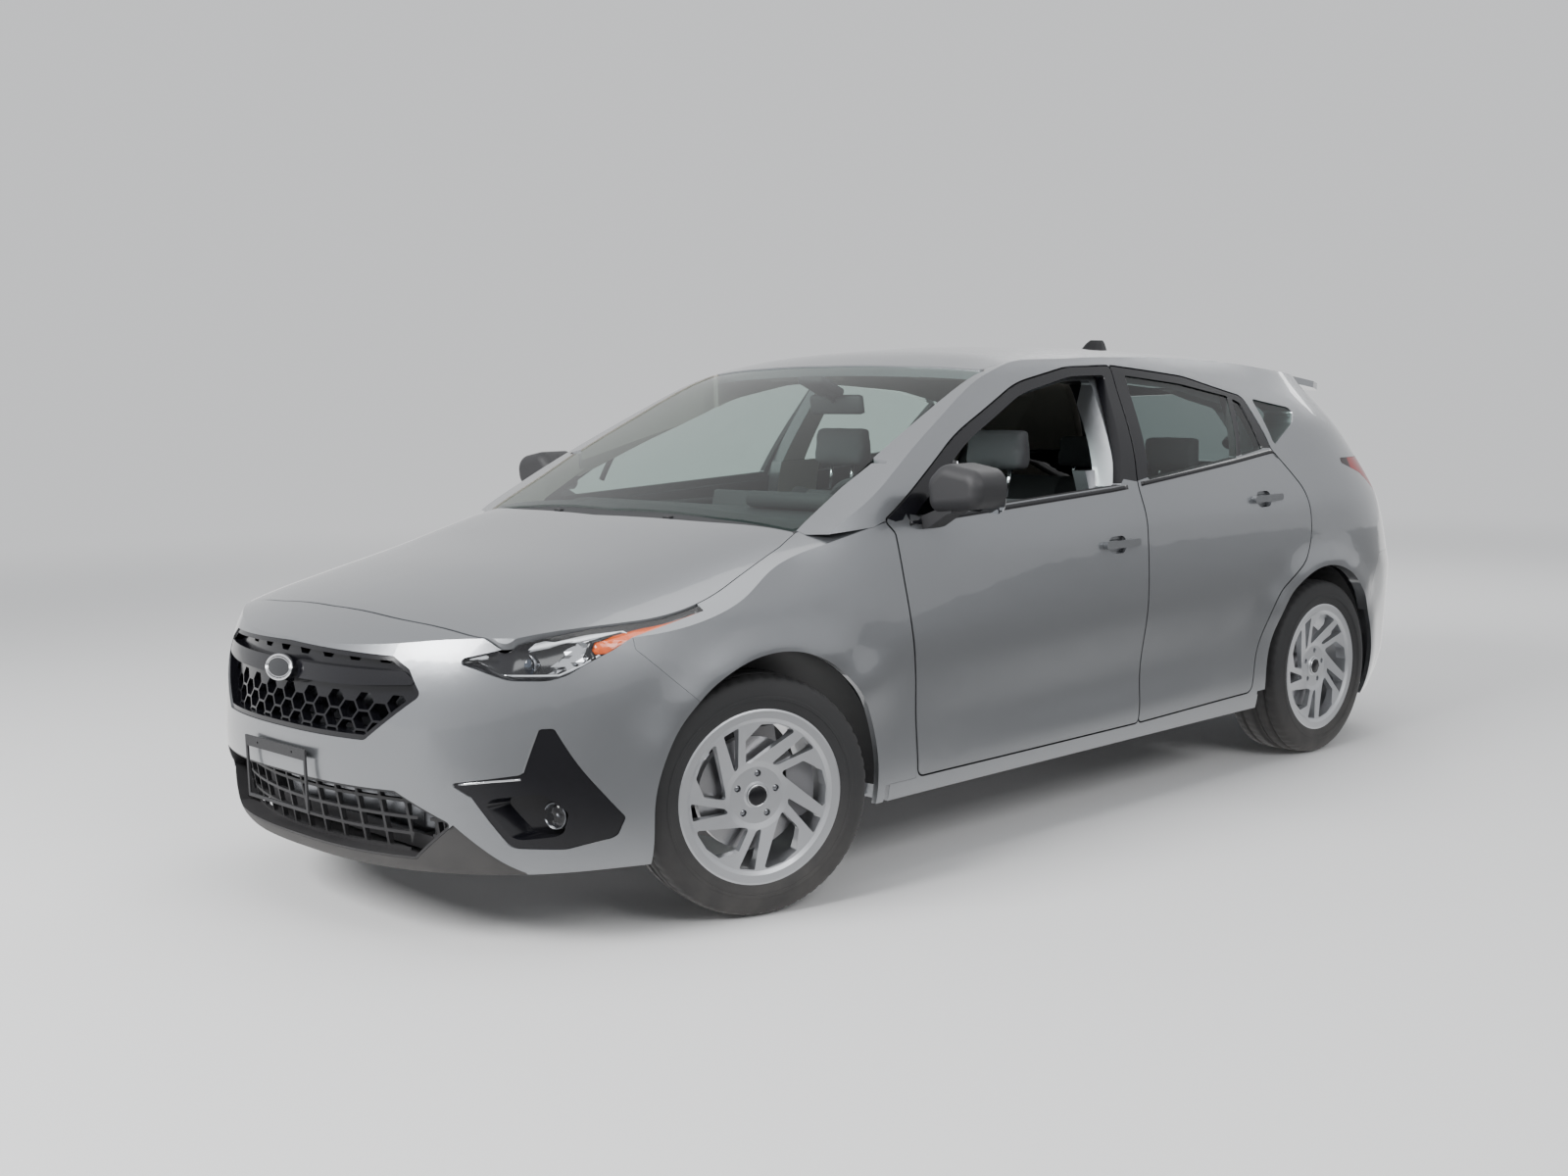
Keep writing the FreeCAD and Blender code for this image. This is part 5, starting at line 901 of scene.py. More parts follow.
lower_line = lamp_patch(
    "lamp_lower_left",
    [
        (0.640, 0.6905), (0.662, 0.6835), (0.733, 0.6800), (0.763, 0.7000), (0.778, 0.7250),
        (0.774, 0.7290), (0.757, 0.7060), (0.731, 0.6865), (0.663, 0.6895)
    ], chrome, 0.010
)
wedge = lamp_patch(
    "lamp_amber_left",
    [
        (0.764, 0.7760), (0.800, 0.8000), (0.822, 0.8200), (0.824, 0.8000), (0.806, 0.7560),
        (0.787, 0.7260), (0.776, 0.7200), (0.764, 0.7400)
    ], amber, 0.012
)
divider = lamp_patch(
    "lamp_divider_left",
    [
        (0.756, 0.7740), (0.764, 0.7760), (0.764, 0.7400), (0.774, 0.7180), (0.768, 0.7150),
        (0.757, 0.7390)
    ], black_gloss, 0.010
)
facets = lamp_patch(
    "lamp_facets_left",
    [
        (0.706, 0.7500), (0.740, 0.7680), (0.757, 0.7730), (0.757, 0.7400), (0.768, 0.7170),
        (0.754, 0.7060), (0.731, 0.6890), (0.706, 0.6880)
    ], chrome, 0.030, 0.009
)
for v in facets.data.vertices:
    v.co.y += 0.012 * random.random() + 0.25 * abs(v.co.x - 0.736)
for polygon in facets.data.polygons:
    polygon.use_smooth = False
on_both_sides(back_plate, blade, blade_edge, lower_line, wedge, divider, facets)

# %% [markdown]
# The projector and the fog lamp are round: rings, bowls and a bulging glass, all turned about the
# way the light goes.
# %% Projector and fog lamp
eye = onto(lens_tree, (0.680, -2.6, 0.714), FRONT, -0.034)
aim = Matrix.Translation(eye) @ Matrix.Rotation(math.radians(-90 + 8), 4, "Z")
bezel = turned(
    "lamp_projector_ring_left",
    [
        (-0.030, 0.0200), (-0.004, 0.0285), (0.003, 0.0290), (0.005, 0.0275), (0.001, 0.0255),
        (-0.006, 0.0240)
    ], aim, dark_chrome, 48
)
ball = turned(
    "lamp_projector_left",
    [
        (-0.010, 0.0240), (-0.002, 0.0235), (0.006, 0.0205), (0.012, 0.0150), (0.0155, 0.0080),
        (0.0165, 0.0001)
    ], aim, projector_glass, 48
)
inner = turned(
    "lamp_projector_bowl_left",
    [(-0.006, 0.0238), (-0.016, 0.0190), (-0.024, 0.0110), (-0.027, 0.0001)], aim, chrome, 48
)
on_both_sides(bezel, ball, inner)

fog_place = Matrix.Translation((0.704, -1.898, 0.340)) @ Matrix.Rotation(math.radians(-90 + 18), 4, "Z")
fog_ring = turned(
    "fog_ring_left",
    [(-0.020, 0.0330), (0.004, 0.0335), (0.007, 0.0325), (0.006, 0.0300), (-0.004, 0.0290)], fog_place,
    dark_chrome, 48
)
fog_bowl = turned(
    "fog_bowl_left", [(-0.004, 0.0292), (-0.018, 0.0240), (-0.028, 0.0120), (-0.031, 0.0001)],
    fog_place, chrome, 48
)
fog_cover = turned(
    "fog_cover_left", [(0.002, 0.0300), (0.006, 0.0240), (0.0085, 0.0130), (0.0095, 0.0001)], fog_place,
    lens, 48
)
fog_bulb = turned(
    "fog_bulb_left", [(-0.024, 0.0060), (-0.006, 0.0060), (-0.003, 0.0040), (-0.002, 0.0001)],
    fog_place, dark_chrome, 24
)
on_both_sides(fog_ring, fog_bowl, fog_cover, fog_bulb)

# %% [markdown]
# A tail lamp is a red cover over a dark bowl. Its outer faces become the cover and the rest the
# bowl, as for the headlamp.
# %% Tail lamps


def tail_face(c, n):
    """Whether a face of the CAD tail lamp looks outward."""
    return n.x * math.copysign(1, c.x) > 0.3 or n.y > 0.3


tail_cover = copy_faces(["tail_lamps"], tail_face, "tail_lamp_covers", red_lens)
tail_bowl = copy_faces(
    ["tail_lamps"], lambda c, n: not tail_face(c, n), "tail_lamp_bowls", black_gloss, True
)
for piece in (tail_cover, tail_bowl):
    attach(piece, "body")
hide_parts("tail_lamps")

# %% [markdown]
# A black strip closes each door along the lower edge of the glass. It is thin, so it is laid on the
# door's own skin along the belt line, and it opens with the door.
# %% Belt strips
SIDE = (-1, 0, 0)
BELT_STEPS = 14


def belt_line(y0, y1, rise):
    """Points along the lower edge of the side glass."""
    ys = [y0 + (y1 - y0) * k / BELT_STEPS for k in range(BELT_STEPS + 1)]
    return [(y, belt(y) + rise) for y in ys]


for door, y0, y1 in (("door_front", -0.800, 0.190), ("door_rear", 0.262, 1.135)):
    belt_piece = strip(
        f"{door}_belt_strip_left", tree_of(f"{door}_left"), belt_line(y0, y1, -0.004), 0.014, SIDE,
        black_gloss, 0.002, 0.003
    )
    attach(belt_piece, f"{door}_left")
    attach(mirrored(belt_piece, f"{door}_belt_strip_right"), f"{door}_right")

# %% [markdown]
# The mirror is a black cap round a pane that faces back, and a small sail of trim fills the corner
# of the window ahead of it; both are in the frame. Only the pane is added: a thin plate with round
# corners, just inside the back of the cap.
# %% Mirror panes
MIRROR_SHIFT, MIRROR_RISE = 0.016, 0.012  # metres from the middle of the cap's box to the pane's
for side, sign in SIDES:
    low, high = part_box(f"mirror_{side}")
    centre = (low + high) / 2
    pane = [
        (-0.080, -0.052), (0.072, -0.060), (0.092, -0.040), (0.094, 0.030), (0.070, 0.056),
        (-0.070, 0.062), (-0.092, 0.040), (-0.094, -0.034)
    ]
    x_mid = sign * (abs(low.x) + abs(high.x)) / 2 + sign * MIRROR_SHIFT
    outline = rounded_path([(a, b, 0.022) for a, b in pane])
    points = [
        Vector((x_mid + sign * p.x, high.y + 0.0005, centre.z + MIRROR_RISE + p.y)) for p in outline
    ]
    glass_pane = mesh_piece(
        f"mirror_glass_{side}", points, [tuple(range(len(points)))], mirror_glass, smooth=False
    )
    face_towards(glass_pane, (0, 1, 0))
    finish_mesh(glass_pane, thick=0.002)
    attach(glass_pane, f"door_front_{side}")

# %% [markdown]
# A seat is a foam block in a tight sewn cover. Each pad starts a little small, is blown up by the
# cloth solver until the cover is taut, and then gets its raised bolsters and its seams. The solver
# needs small even faces, which remeshing a plain block gives.
# %% Blocks for the pads
PAD_STEP, PAD_STEP_QUICK = 0.009, 0.018  # metres between the points of a seat pad's mesh
INFLATE_FRAMES = 20


def prism(name, outline, x0, x1):
    """A closed block from an outline of (y, z, radius) between two x planes, as an even mesh."""
    ring = rounded_path(outline)
    n = len(ring)
    points = [Vector((x, p.x, p.y)) for x in (x0, x1) for p in ring]
    faces = [tuple(range(n)), tuple(range(n, 2 * n))] + [
        (i, (i + 1) % n, n + (i + 1) % n, n + i) for i in range(n)
    ]
    piece = mesh_piece(name, points, faces, cloth)
    even = piece.modifiers.new("even", "REMESH")
    even.mode = "VOXEL"
    even.voxel_size = PAD_STEP
    soften = piece.modifiers.new("soften", "SMOOTH")
    soften.factor = 0.5
    soften.iterations = 14
    apply_modifiers(piece)
    return piece


def apply_modifiers(piece):
    """Keeps the shape that the modifiers make, and drops them."""
    graph = bpy.context.evaluated_depsgraph_get()
    shaped = bpy.data.meshes.new_from_object(piece.evaluated_get(graph))
    piece.modifiers.clear()
    shaped.materials.clear()
    for m in piece.data.materials:
        shaped.materials.append(m)
    piece.data = shaped
    for polygon in shaped.polygons:
        polygon.use_smooth = True


def along(base, points):
    """Outline points (mm from an axle, mm up, mm radius) in metres."""
    return [(base + y / 1000, z / 1000, r / 1000) for y, z, r in points]


SEAT_X, SEAT_W = 0.365, 0.486
SEAT_IN, SEAT_OUT = SEAT_X - SEAT_W / 2 + 0.016, SEAT_X + SEAT_W / 2 - 0.016
# Each pad: the axle it is measured from, its outline, its two sides, how far its cover may swell
# and how full the finished cushion is
PADS = {
    "seat_cushion_left": (
        AXLE_F,
        [
            (912, 384, 40), (917, 458, 50), (1348, 412, 50), (1380, 345, 40), (1296, 314, 40),
            (966, 314, 40)
        ], SEAT_IN, SEAT_OUT, 0.014, 0.75
    ),
    "seat_back_left": (
        AXLE_F,
        [
            (1352, 425, 30), (1286, 478, 20), (1358, 722, 300), (1411, 985, 50), (1462, 1004, 40),
            (1486, 878, 200), (1432, 425, 30)
        ], SEAT_IN, SEAT_OUT, 0.014, 0.75
    ),
    "seat_headrest_left": (
        AXLE_F, [(1422, 1072, 40), (1440, 1200, 40), (1492, 1208, 40), (1500, 1072, 40)],
        SEAT_X - 0.118, SEAT_X + 0.118, 0.010, 0.85
    ),
    "bench_cushion": (
        AXLE_R,
        [
            (-862, 405, 30), (-866, 486, 50), (-482, 458, 50), (-470, 440, 20), (-470, 415, 20),
            (-806, 405, 20)
        ], -0.586, 0.586, 0.014, 0.75
    ),
    "bench_back": (
        AXLE_R, [(-458, 482, 20), (-338, 1000, 50), (-278, 1018, 36), (-312, 620, 20), (-424, 470, 20)],
        -0.586, 0.586, 0.012, 0.75
    ),
    "bench_headrest_mid": (
        AXLE_R, [(-322, 1034, 20), (-300, 1150, 36), (-250, 1150, 36), (-258, 1034, 20)], -0.108, 0.108,
        0.010, 0.85
    ),
}
pads = {
    name: prism(name, along(axle, outline), x0, x1)
    for name, (axle, outline, x0, x1, _, _) in PADS.items()
}
print("pads before the solver:", {n: len(p.data.vertices) for n, p in pads.items()})

# %% [markdown]
# The solver treats each pad's skin as cloth and blows it up from inside for a few frames, with no
# gravity. A cover can only swell so far over its foam, so the move of each point is then limited.
# %% Blown up by the cloth solver
starts = {name: [v.co.copy() for v in piece.data.vertices] for name, piece in pads.items()}
for piece in pads.values():
    cover_cloth = piece.modifiers.new("cover", "CLOTH")
    settings = cover_cloth.settings
    settings.quality = 4
    settings.mass = 0.3
    settings.tension_stiffness = settings.compression_stiffness = 18
    settings.bending_stiffness = 0.6
    settings.use_pressure = True
    settings.uniform_pressure_force = 4
    settings.effector_weights.gravity = 0
    cover_cloth.collision_settings.use_collision = False
    cover_cloth.point_cache.frame_start, cover_cloth.point_cache.frame_end = 1, INFLATE_FRAMES
for step in range(1, INFLATE_FRAMES + 1):
    scene.frame_set(step)
for name, piece in pads.items():
    apply_modifiers(piece)
scene.frame_set(1)
for name, piece in pads.items():
    swell = PADS[name][4]
    for v, start in zip(piece.data.vertices, starts[name]):
        move = v.co - start
        if move.length > swell:
            v.co = start + move.normalized() * swell

# %% [markdown]
# The outer parts of a seat rise into bolsters, with a pressed seam where they meet the middle and a
# plainer cloth on the sides. Both follow from a point's distance from the seat's middle.
# %% Bolsters and seams


def smooth_step(a, b, x):
    """Goes softly from 0 at a to 1 at b."""
    t = min(max((x - a) / (b - a), 0.0), 1.0)
    return t * t * (3 - 2 * t)


SEAM_DEPTH, SEAM_WIDTH = 0.007, 0.006


def sewn(piece, centres, seam, side, raise_by, outward):
    """Raises the bolsters outside a seam, presses the seam in, and gives the sides their own cloth."""
    piece.data.materials.append(cloth_side)
    way = Vector(outward).normalized()
    normals = [v.normal.copy() for v in piece.data.vertices]
    for v, normal in zip(piece.data.vertices, normals):
        facing = max(normal.dot(way), 0.0)
        u = min(abs(v.co.x - c) for c in centres)
        lift = raise_by * smooth_step(seam, side, u) - SEAM_DEPTH * math.exp(
            -(((u - seam) / SEAM_WIDTH) ** 2)
        )
        v.co += normal * lift * facing
    for polygon in piece.data.polygons:
        u = min(abs(polygon.center.x - c) for c in centres)
        polygon.material_index = 1 if u > seam or polygon.normal.dot(way) < 0.1 else 0


sewn(pads["seat_cushion_left"], (SEAT_X,), 0.158, 0.205, 0.016, (0, 0, 1))
sewn(pads["seat_back_left"], (SEAT_X,), 0.152, 0.205, 0.022, (0, -1, 0.2))
sewn(pads["bench_cushion"], (-0.30, 0.30), 0.215, 0.27, 0.004, (0, 0, 1))
sewn(pads["bench_back"], (-0.30, 0.30), 0.215, 0.27, 0.005, (0, -1, 0.2))
for name, pad in pads.items():
    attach(pad, "body")
for name in ("seat_cushion_left", "seat_back_left", "seat_headrest_left"):
    twin = mirrored(pads[name], name.replace("_left", "_right"))
    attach(twin, "body")
for label, shift in (("left", 0.4), ("right", -0.4)):
    twin = pads["bench_headrest_mid"].copy()
    twin.data = pads["bench_headrest_mid"].data.copy()
    twin.name = twin.data.name = f"bench_headrest_{label}"
    scene.collection.objects.link(twin)
    for v in twin.data.vertices:
        v.co.x += shift
    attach(twin, "body")
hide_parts("front_seats")
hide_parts("rear_bench")

for side, sign in SIDES:
    for k in (-0.052, 0.052):
        post = bar(
            f"headrest_post_{side}_{'in' if k < 0 else 'out'}",
            [
                (sign * (SEAT_X + k), AXLE_F + 1.448, 0.985),
                (sign * (SEAT_X + k), AXLE_F + 1.462, 1.085)
            ], 0.006, chrome, 12
        )
        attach(post, "body")
    shell = block(
        f"seat_base_{side}", (sign * SEAT_X, AXLE_F + 1.165, 0.285), (0.40, 0.36, 0.060), cabin, 0.012
    )
    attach(shell, "body")
    for k in (-0.17, 0.17):
        rail = block(
            f"seat_rail_{side}_{'in' if k < 0 else 'out'}", (sign * (SEAT_X + k), AXLE_F + 1.16, 0.240),
            (0.040, 0.42, 0.040), steel, 0.004
        )
        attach(rail, "body")
    lever = bar(
        f"seat_lever_{side}",
        [
            (sign * (SEAT_X + 0.236), AXLE_F + 1.18, 0.330),
            (sign * (SEAT_X + 0.240), AXLE_F + 1.24, 0.338),
            (sign * (SEAT_X + 0.238), AXLE_F + 1.31, 0.345)
        ], 0.011, cabin, 12, flat=1.6
    )
    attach(lever, "body")
for k in (-0.4, 0.0, 0.4):
    for e in (-0.045, 0.045):
        post = bar(
            f"bench_post_{int((k + 0.4) * 10)}_{'in' if e < 0 else 'out'}",
            [(k + e, AXLE_R - 0.292, 0.995), (k + e, AXLE_R - 0.288, 1.045)], 0.005, chrome, 10
        )
        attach(post, "body")
print("seats done:", {n: len(p.data.polygons) for n, p in pads.items()})

# %% [markdown]
# Through the glass a cabin reads by its edges: the screen over the dash, vents, stalks, the lever
# on the tunnel, door pulls and the mirror. Each is a small rounded block, bar or turned knob.
# %% Dash and console


def tilt(degrees):
    """A turn about the car's width: a positive one raises the rear edge."""
    return Matrix.Rotation(math.radians(degrees), 3, "X")


UPWARD = Matrix.Rotation(math.radians(-90), 4, "Y")  # turns a lathe part's axis to the roof
cluster = block(
    "instrument_hood", (0.365, -0.735, 1.014), (0.360, 0.180, 0.050), cabin, 0.018,
    tilt(-8)
)
screen = block(
    "centre_display", (0.0, -0.668, 0.952), (0.250, 0.022, 0.145), screen_glass, 0.008,
    tilt(-14)
)
screen_frame = block(
    "centre_display_frame", (0.0, -0.674, 0.950), (0.278, 0.026, 0.172), cabin, 0.010,
    tilt(-14)
)
panel = block(
    "air_controls", (0.0, -0.640, 0.800), (0.220, 0.020, 0.052), screen_glass, 0.006,
    tilt(-12)
)
fittings = [cluster, screen, screen_frame, panel]
for k, x in enumerate((-0.080, 0.080)):
    fittings.append(
        turned(
            f"air_knob_{k}", [(-0.004, 0.0195), (0.014, 0.0190), (0.018, 0.0165), (0.0185, 0.0001)],
            Matrix.Translation((x, -0.632, 0.800)) @ Matrix.Rotation(math.radians(90), 4, "Z"),
            cabin_trim, 32
        )
    )
for k, (x, w) in enumerate(((-0.575, 0.120), (-0.190, 0.090), (0.190, 0.090), (0.590, 0.110))):
    fittings.append(block(f"vent_frame_{k}", (x, -0.636, 0.905), (w, 0.024, 0.062), cabin_trim, 0.008))
    for j in range(4):
        fittings.append(
            block(
                f"vent_slat_{k}_{j}", (x, -0.624, 0.886 + 0.013 * j), (w - 0.020, 0.012, 0.003), cabin,
                0.001, tilt(20)
            )
        )
trim_line = block("dash_trim_line", (-0.380, -0.622, 0.868), (0.420, 0.006, 0.012), cabin_trim, 0.003)
fittings.append(trim_line)
lever_base = block("lever_plate", (0.0, -0.470, 0.598), (0.120, 0.180, 0.008), cabin_trim, 0.003)
boot = turned(
    "lever_boot", [(0.0, 0.050), (0.012, 0.046), (0.040, 0.026), (0.058, 0.014)],
    Matrix.Translation((0, -0.470, 0.600)) @ UPWARD, cabin, 24
)
stick = bar(
    "lever_stick", [(0, -0.470, 0.640), (0, -0.478, 0.700), (0, -0.484, 0.730)], 0.008, chrome, 12
)
knob = block("lever_knob", (0, -0.486, 0.752), (0.046, 0.060, 0.064), cabin, 0.020)
armrest = block("console_armrest", (0.0, -0.080, 0.628), (0.190, 0.300, 0.050), cloth_side, 0.020)
holders = [
    turned(
        f"cup_rim_{k}", [(0, 0.040), (0.004, 0.040), (0.004, 0.036), (-0.010, 0.035)],
        Matrix.Translation((0, y, 0.604)) @ UPWARD, cabin_trim, 32
    ) for k, y in enumerate((-0.330, -0.262))
]
fittings += [lever_base, boot, stick, knob, armrest] + holders

# %% [markdown]
# The steering wheel comes with the frame. Its buttons, hub cover and stalks are placed in the
# column's own leaning frame, and the pedals hang below it.
# %% Wheel, stalks and pedals
column = Matrix.Translation((0.365, -0.4525, 0.895)) @ Matrix.Rotation(math.radians(-68), 4, "X")
for k, x in enumerate((-0.085, 0.085)):
    pod = block(
        f"wheel_buttons_{k}", column @ Vector((x, 0.0, 0.012)), (0.060, 0.040, 0.014), cabin_trim,
        0.005, column.to_3x3()
    )
    fittings.append(pod)
    stalk = bar(
        f"column_stalk_{k}",
        [
            column @ Vector((0.30 * x, 0.0, -0.060)), column @ Vector((1.5 * x, 0.010, -0.060)),
            column @ Vector((2.1 * x, 0.014, -0.050))
        ], 0.008, cabin, 10
    )
    fittings.append(stalk)
pad_cover = block(
    "wheel_hub_cover", column @ Vector((0, -0.006, 0.012)), (0.116, 0.100, 0.026), cabin, 0.012,
    column.to_3x3()
)
low_spoke = block(
    "wheel_low_spoke", column @ Vector((0, -0.115, 0.0)), (0.046, 0.120, 0.010), cabin_trim, 0.004,
    column.to_3x3()
)
fittings += [pad_cover, low_spoke]
for k, (x, y) in enumerate(((0.300, -0.845), (0.400, -0.845), (0.470, -0.850))):
    fittings.append(
        block(
            f"pedal_{k}", (x, y + 0.02, 0.360), (0.050, 0.012, 0.080), steel, 0.004,
            tilt(-30)
        )
    )
    fittings.append(
        bar(f"pedal_arm_{k}", [(x, y + 0.02, 0.390), (x, y - 0.02, 0.520)], 0.006, steel, 8)
    )

# %% [markdown]
# The inner mirror and the sensor pod hang from the screen, and the visors fold under the roof.
# %% Mirror, pod and visors
mirror_stem = bar(
    "inner_mirror_stem", [(0, -0.310, 1.350), (0, -0.285, 1.325), (0, -0.262, 1.305)], 0.010, cabin, 12
)
mirror_body = block(
    "inner_mirror_body", (0, -0.248, 1.292), (0.240, 0.024, 0.064), cabin, 0.012,
    tilt(8)
)
mirror_pane = block(
    "inner_mirror_pane", (0, -0.2345, 1.290), (0.222, 0.003, 0.052), mirror_glass, 0.001,
    tilt(8)
)
camera_pod = block(
    "screen_sensor_pod", (0, -0.318, 1.352), (0.110, 0.120, 0.030), cabin, 0.012,
    tilt(-24)
)
fittings += [mirror_stem, mirror_body, mirror_pane, camera_pod]
for side, sign in SIDES:
    fittings.append(
        block(
            f"sun_visor_{side}", (sign * 0.350, -0.120, 1.392), (0.360, 0.150, 0.016), beige, 0.007,
            tilt(-14)
        )
    )
for piece in fittings:
    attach(piece, "body")

# %% [markdown]
# Each door's lining has an armrest, a pull, a cap along the window, a handle and a speaker. They
# ride on the door, so they swing out with it.
# %% Door linings
for side, sign in SIDES:
    for door, y0, y1, x_in in (
        ("door_front", -0.700, 0.080, 0.768), ("door_rear", 0.380, 0.940, 0.772)
    ):
        body = f"{door}_{side}"
        middle = (y0 + y1) / 2
        rest = block(
            f"{door}_armrest_{side}", (sign * (x_in - 0.028), middle + 0.06, 0.712),
            (0.056, (y1 - y0) * 0.55, 0.050), cloth_side, 0.016
        )
        pull = bar(
            f"{door}_pull_{side}",
            [
                (sign * (x_in - 0.004), middle - 0.14, 0.760),
                (sign * (x_in - 0.050), middle - 0.12, 0.770),
                (sign * (x_in - 0.050), middle + 0.02, 0.775),
                (sign * (x_in - 0.004), middle + 0.04, 0.770)
            ], 0.011, cabin_trim, 12
        )
        sill = block(
            f"{door}_sill_cap_{side}", (sign * (x_in - 0.006), middle, 0.945),
            (0.030, (y1 - y0) * 0.95, 0.030), cabin, 0.012
        )
        handle = block(
            f"{door}_inner_handle_{side}", (sign * (x_in - 0.008), y0 + 0.10, 0.845),
            (0.016, 0.090, 0.034), chrome, 0.008
        )
        grille = turned(
            f"{door}_speaker_{side}", [(0, 0.080), (0.006, 0.078), (0.008, 0.070), (0.006, 0.0001)],
            Matrix.Translation((sign * (x_in + 0.002), y0 + 0.14, 0.480)) @ Matrix.Rotation(
                math.radians(180 if sign > 0 else 0), 4, "Z"
            ), cabin, 40
        )
        for piece in (rest, pull, sill, handle, grille):
            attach(piece, body)
print(len(fittings), "cabin fittings and", 4 * 5, "on the doors")

# %% [markdown]
# The badge is an oval with a bright rim on a sloped pad, and its field is left blank. Bars round an
# oval path make the rims, and a low fan of triangles the field.
# %% Badge
BADGE_Z, BADGE_LEAN = 0.672, math.radians(15.8)
face_point = onto(tree_of("grille_upper"), from_front(0.0, BADGE_Z), FRONT)
badge_out = Vector((0, -math.cos(BADGE_LEAN), math.sin(BADGE_LEAN)))
badge_up = Vector((0, math.sin(BADGE_LEAN), math.cos(BADGE_LEAN)))


def oval_path(a, b, lift, steps):
    """Points round an oval of half axes a and b, lifted off the badge's pad."""
    centre = face_point + badge_out * lift
    return [
        centre + Vector((a * math.cos(t), 0, 0)) + badge_up * (b * math.sin(t)) for t in turns(steps)
    ]


badge_rim = bar("badge_rim", oval_path(0.0640, 0.0310, 0.0015, 72), 0.0032, chrome, 10, closed=True)
badge_line = bar(
    "badge_inner_line", oval_path(0.0565, 0.0245, 0.0022, 72), 0.0012, chrome, 10, closed=True
)
FIELD_STEPS = 60
badge_field = mesh_piece(
    "badge_field", oval_path(0.0620, 0.0290, 0.0016, FIELD_STEPS) + [face_point + badge_out * 0.0052],
    [(k, (k + 1) % FIELD_STEPS, FIELD_STEPS) for k in range(FIELD_STEPS)], screen_glass
)
for piece in (badge_rim, badge_line, badge_field):
    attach(piece, "body")

# %% [markdown]
# A bright line edges each fog lamp's surround, and two washer jets sit on the cowl.
# %% Bright line and washer jets
bezel_tree = tree_of("fog_lamp_surrounds")
bright_line = strip(
    "fog_bright_line_left", bezel_tree, [(0.578, 0.4300), (0.640, 0.4372), (0.686, 0.4405)], 0.0045,
    FRONT, chrome, 0.0022, 0.003, place=from_front
)
on_both_sides(bright_line)

cowl_tree = tree_of("cowl")
for k, x in enumerate((0.26, -0.26)):
    spot = onto(cowl_tree, (x, -1.17, 1.6), (0, 0, -1), 0.003)
    jet = block(f"washer_jet_{k}", spot, (0.030, 0.018, 0.010), black_grain, 0.003)
    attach(jet, "body")

# %% [markdown]
# The tailgate carries the plate recess with a blank plate, a grip over it and the rear wiper. All
# ride on the tailgate.
# %% Tailgate trim and wiper
tail_tree = tree_of("tailgate")
BACK = (0, -1, 0)


def from_back(a, b):
    """The plane behind the tail that rear trim is drawn in."""
    return Vector((a, 2.7, b))


recess = patch(
    "plate_recess", tail_tree, [(-0.270, 0.800), (0.270, 0.800), (0.262, 0.930), (-0.262, 0.930)], BACK,
    black_grain, 0.002, 0.002, 0.03, from_back
)
plate = patch(
    "plate_blank", tail_tree,
    [
        (p.x, p.y)
        for p in rounded_path(
            [(-0.155, 0.812, 0.01), (0.155, 0.812, 0.01), (0.155, 0.912, 0.01), (-0.155, 0.912, 0.01)]
        )
    ], BACK, cabin_trim, 0.007, 0.002, 0.03, from_back
)
grip = patch(
    "tailgate_grip", tail_tree, [(-0.270, 0.938), (0.270, 0.938), (0.262, 0.962), (-0.262, 0.962)],
    BACK, chrome, 0.004, 0.003, 0.03, from_back
)
for piece in (recess, plate, grip):
    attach(piece, "tailgate")
rear_glass_tree = tree_of("tailgate_glass")
hub = onto(rear_glass_tree, from_back(0.0, 1.085), BACK, 0.012)
tip = onto(rear_glass_tree, from_back(0.330, 1.120), BACK, 0.010)
glass_out = Vector((0, 0.8, 0.6))
hub_place = Matrix.Translation(hub) @ glass_out.to_track_quat("X", "Z").to_matrix().to_4x4()
wiper_hub = turned(
    "rear_wiper_hub", [(-0.014, 0.026), (0.010, 0.025), (0.016, 0.018), (0.017, 0.0001)], hub_place,
    black_grain, 32
)
arm_path = [hub + glass_out * 0.010, hub.lerp(tip, 0.5) + glass_out * 0.016, tip + glass_out * 0.006]
wiper_arm = bar("rear_wiper_arm", arm_path, [0.010, 0.008, 0.005], black_grain, 10)
BLADE_STEPS = 11
blade_path = []
for k in range(BLADE_STEPS + 1):
    p = hub.lerp(tip, 0.25 + 0.75 * k / BLADE_STEPS)
    hit = onto(rear_glass_tree, from_back(p.x, p.z - 0.004), BACK, 0.004)
    blade_path.append(hit if hit is not None else p)
wiper_blade = bar("rear_wiper_blade", blade_path, 0.005, seal, 8)
for piece in (wiper_hub, wiper_arm, wiper_blade):
    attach(piece, "tailgate")

# %% [markdown]
# Reflectors and a dark apron finish the rear bumper, and a tray behind the front lip closes the
# view to the ground through the lower grille.
# %% Reflectors, apron and tray
bumper_tree = tree_of("bumper_rear")
for side, sign in SIDES:
    # Each reflector carries the faint painted glow of the red material.
    mark = patch(
        f"rear_reflector_{side}", bumper_tree,
        [
            (p.x, p.y)
            for p in rounded_path(
                [
                    (sign * 0.560, 0.452, 0.012), (sign * 0.730, 0.462, 0.012),
                    (sign * 0.730, 0.488, 0.012), (sign * 0.560, 0.480, 0.012)
                ]
            )
        ], BACK, red, 0.003, 0.003, 0.02, from_back
    )
    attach(mark, "body")
TRAY_Z, TRAY_NOSE, TRAY_BOW, TRAY_BACK = 0.2045, -2.172, 0.62, -1.745
tray_xs = [k / 10 for k in range(-6, 7)]
tray_rim = [Vector((x, TRAY_NOSE + TRAY_BOW * x ** 2, TRAY_Z)) for x in tray_xs]
tray_rim += [Vector((x, TRAY_BACK, TRAY_Z)) for x in reversed(tray_xs)]
splash_tray = mesh_piece(
    "splash_tray", tray_rim, [tuple(range(len(tray_rim)))], black_grain, smooth=False
)
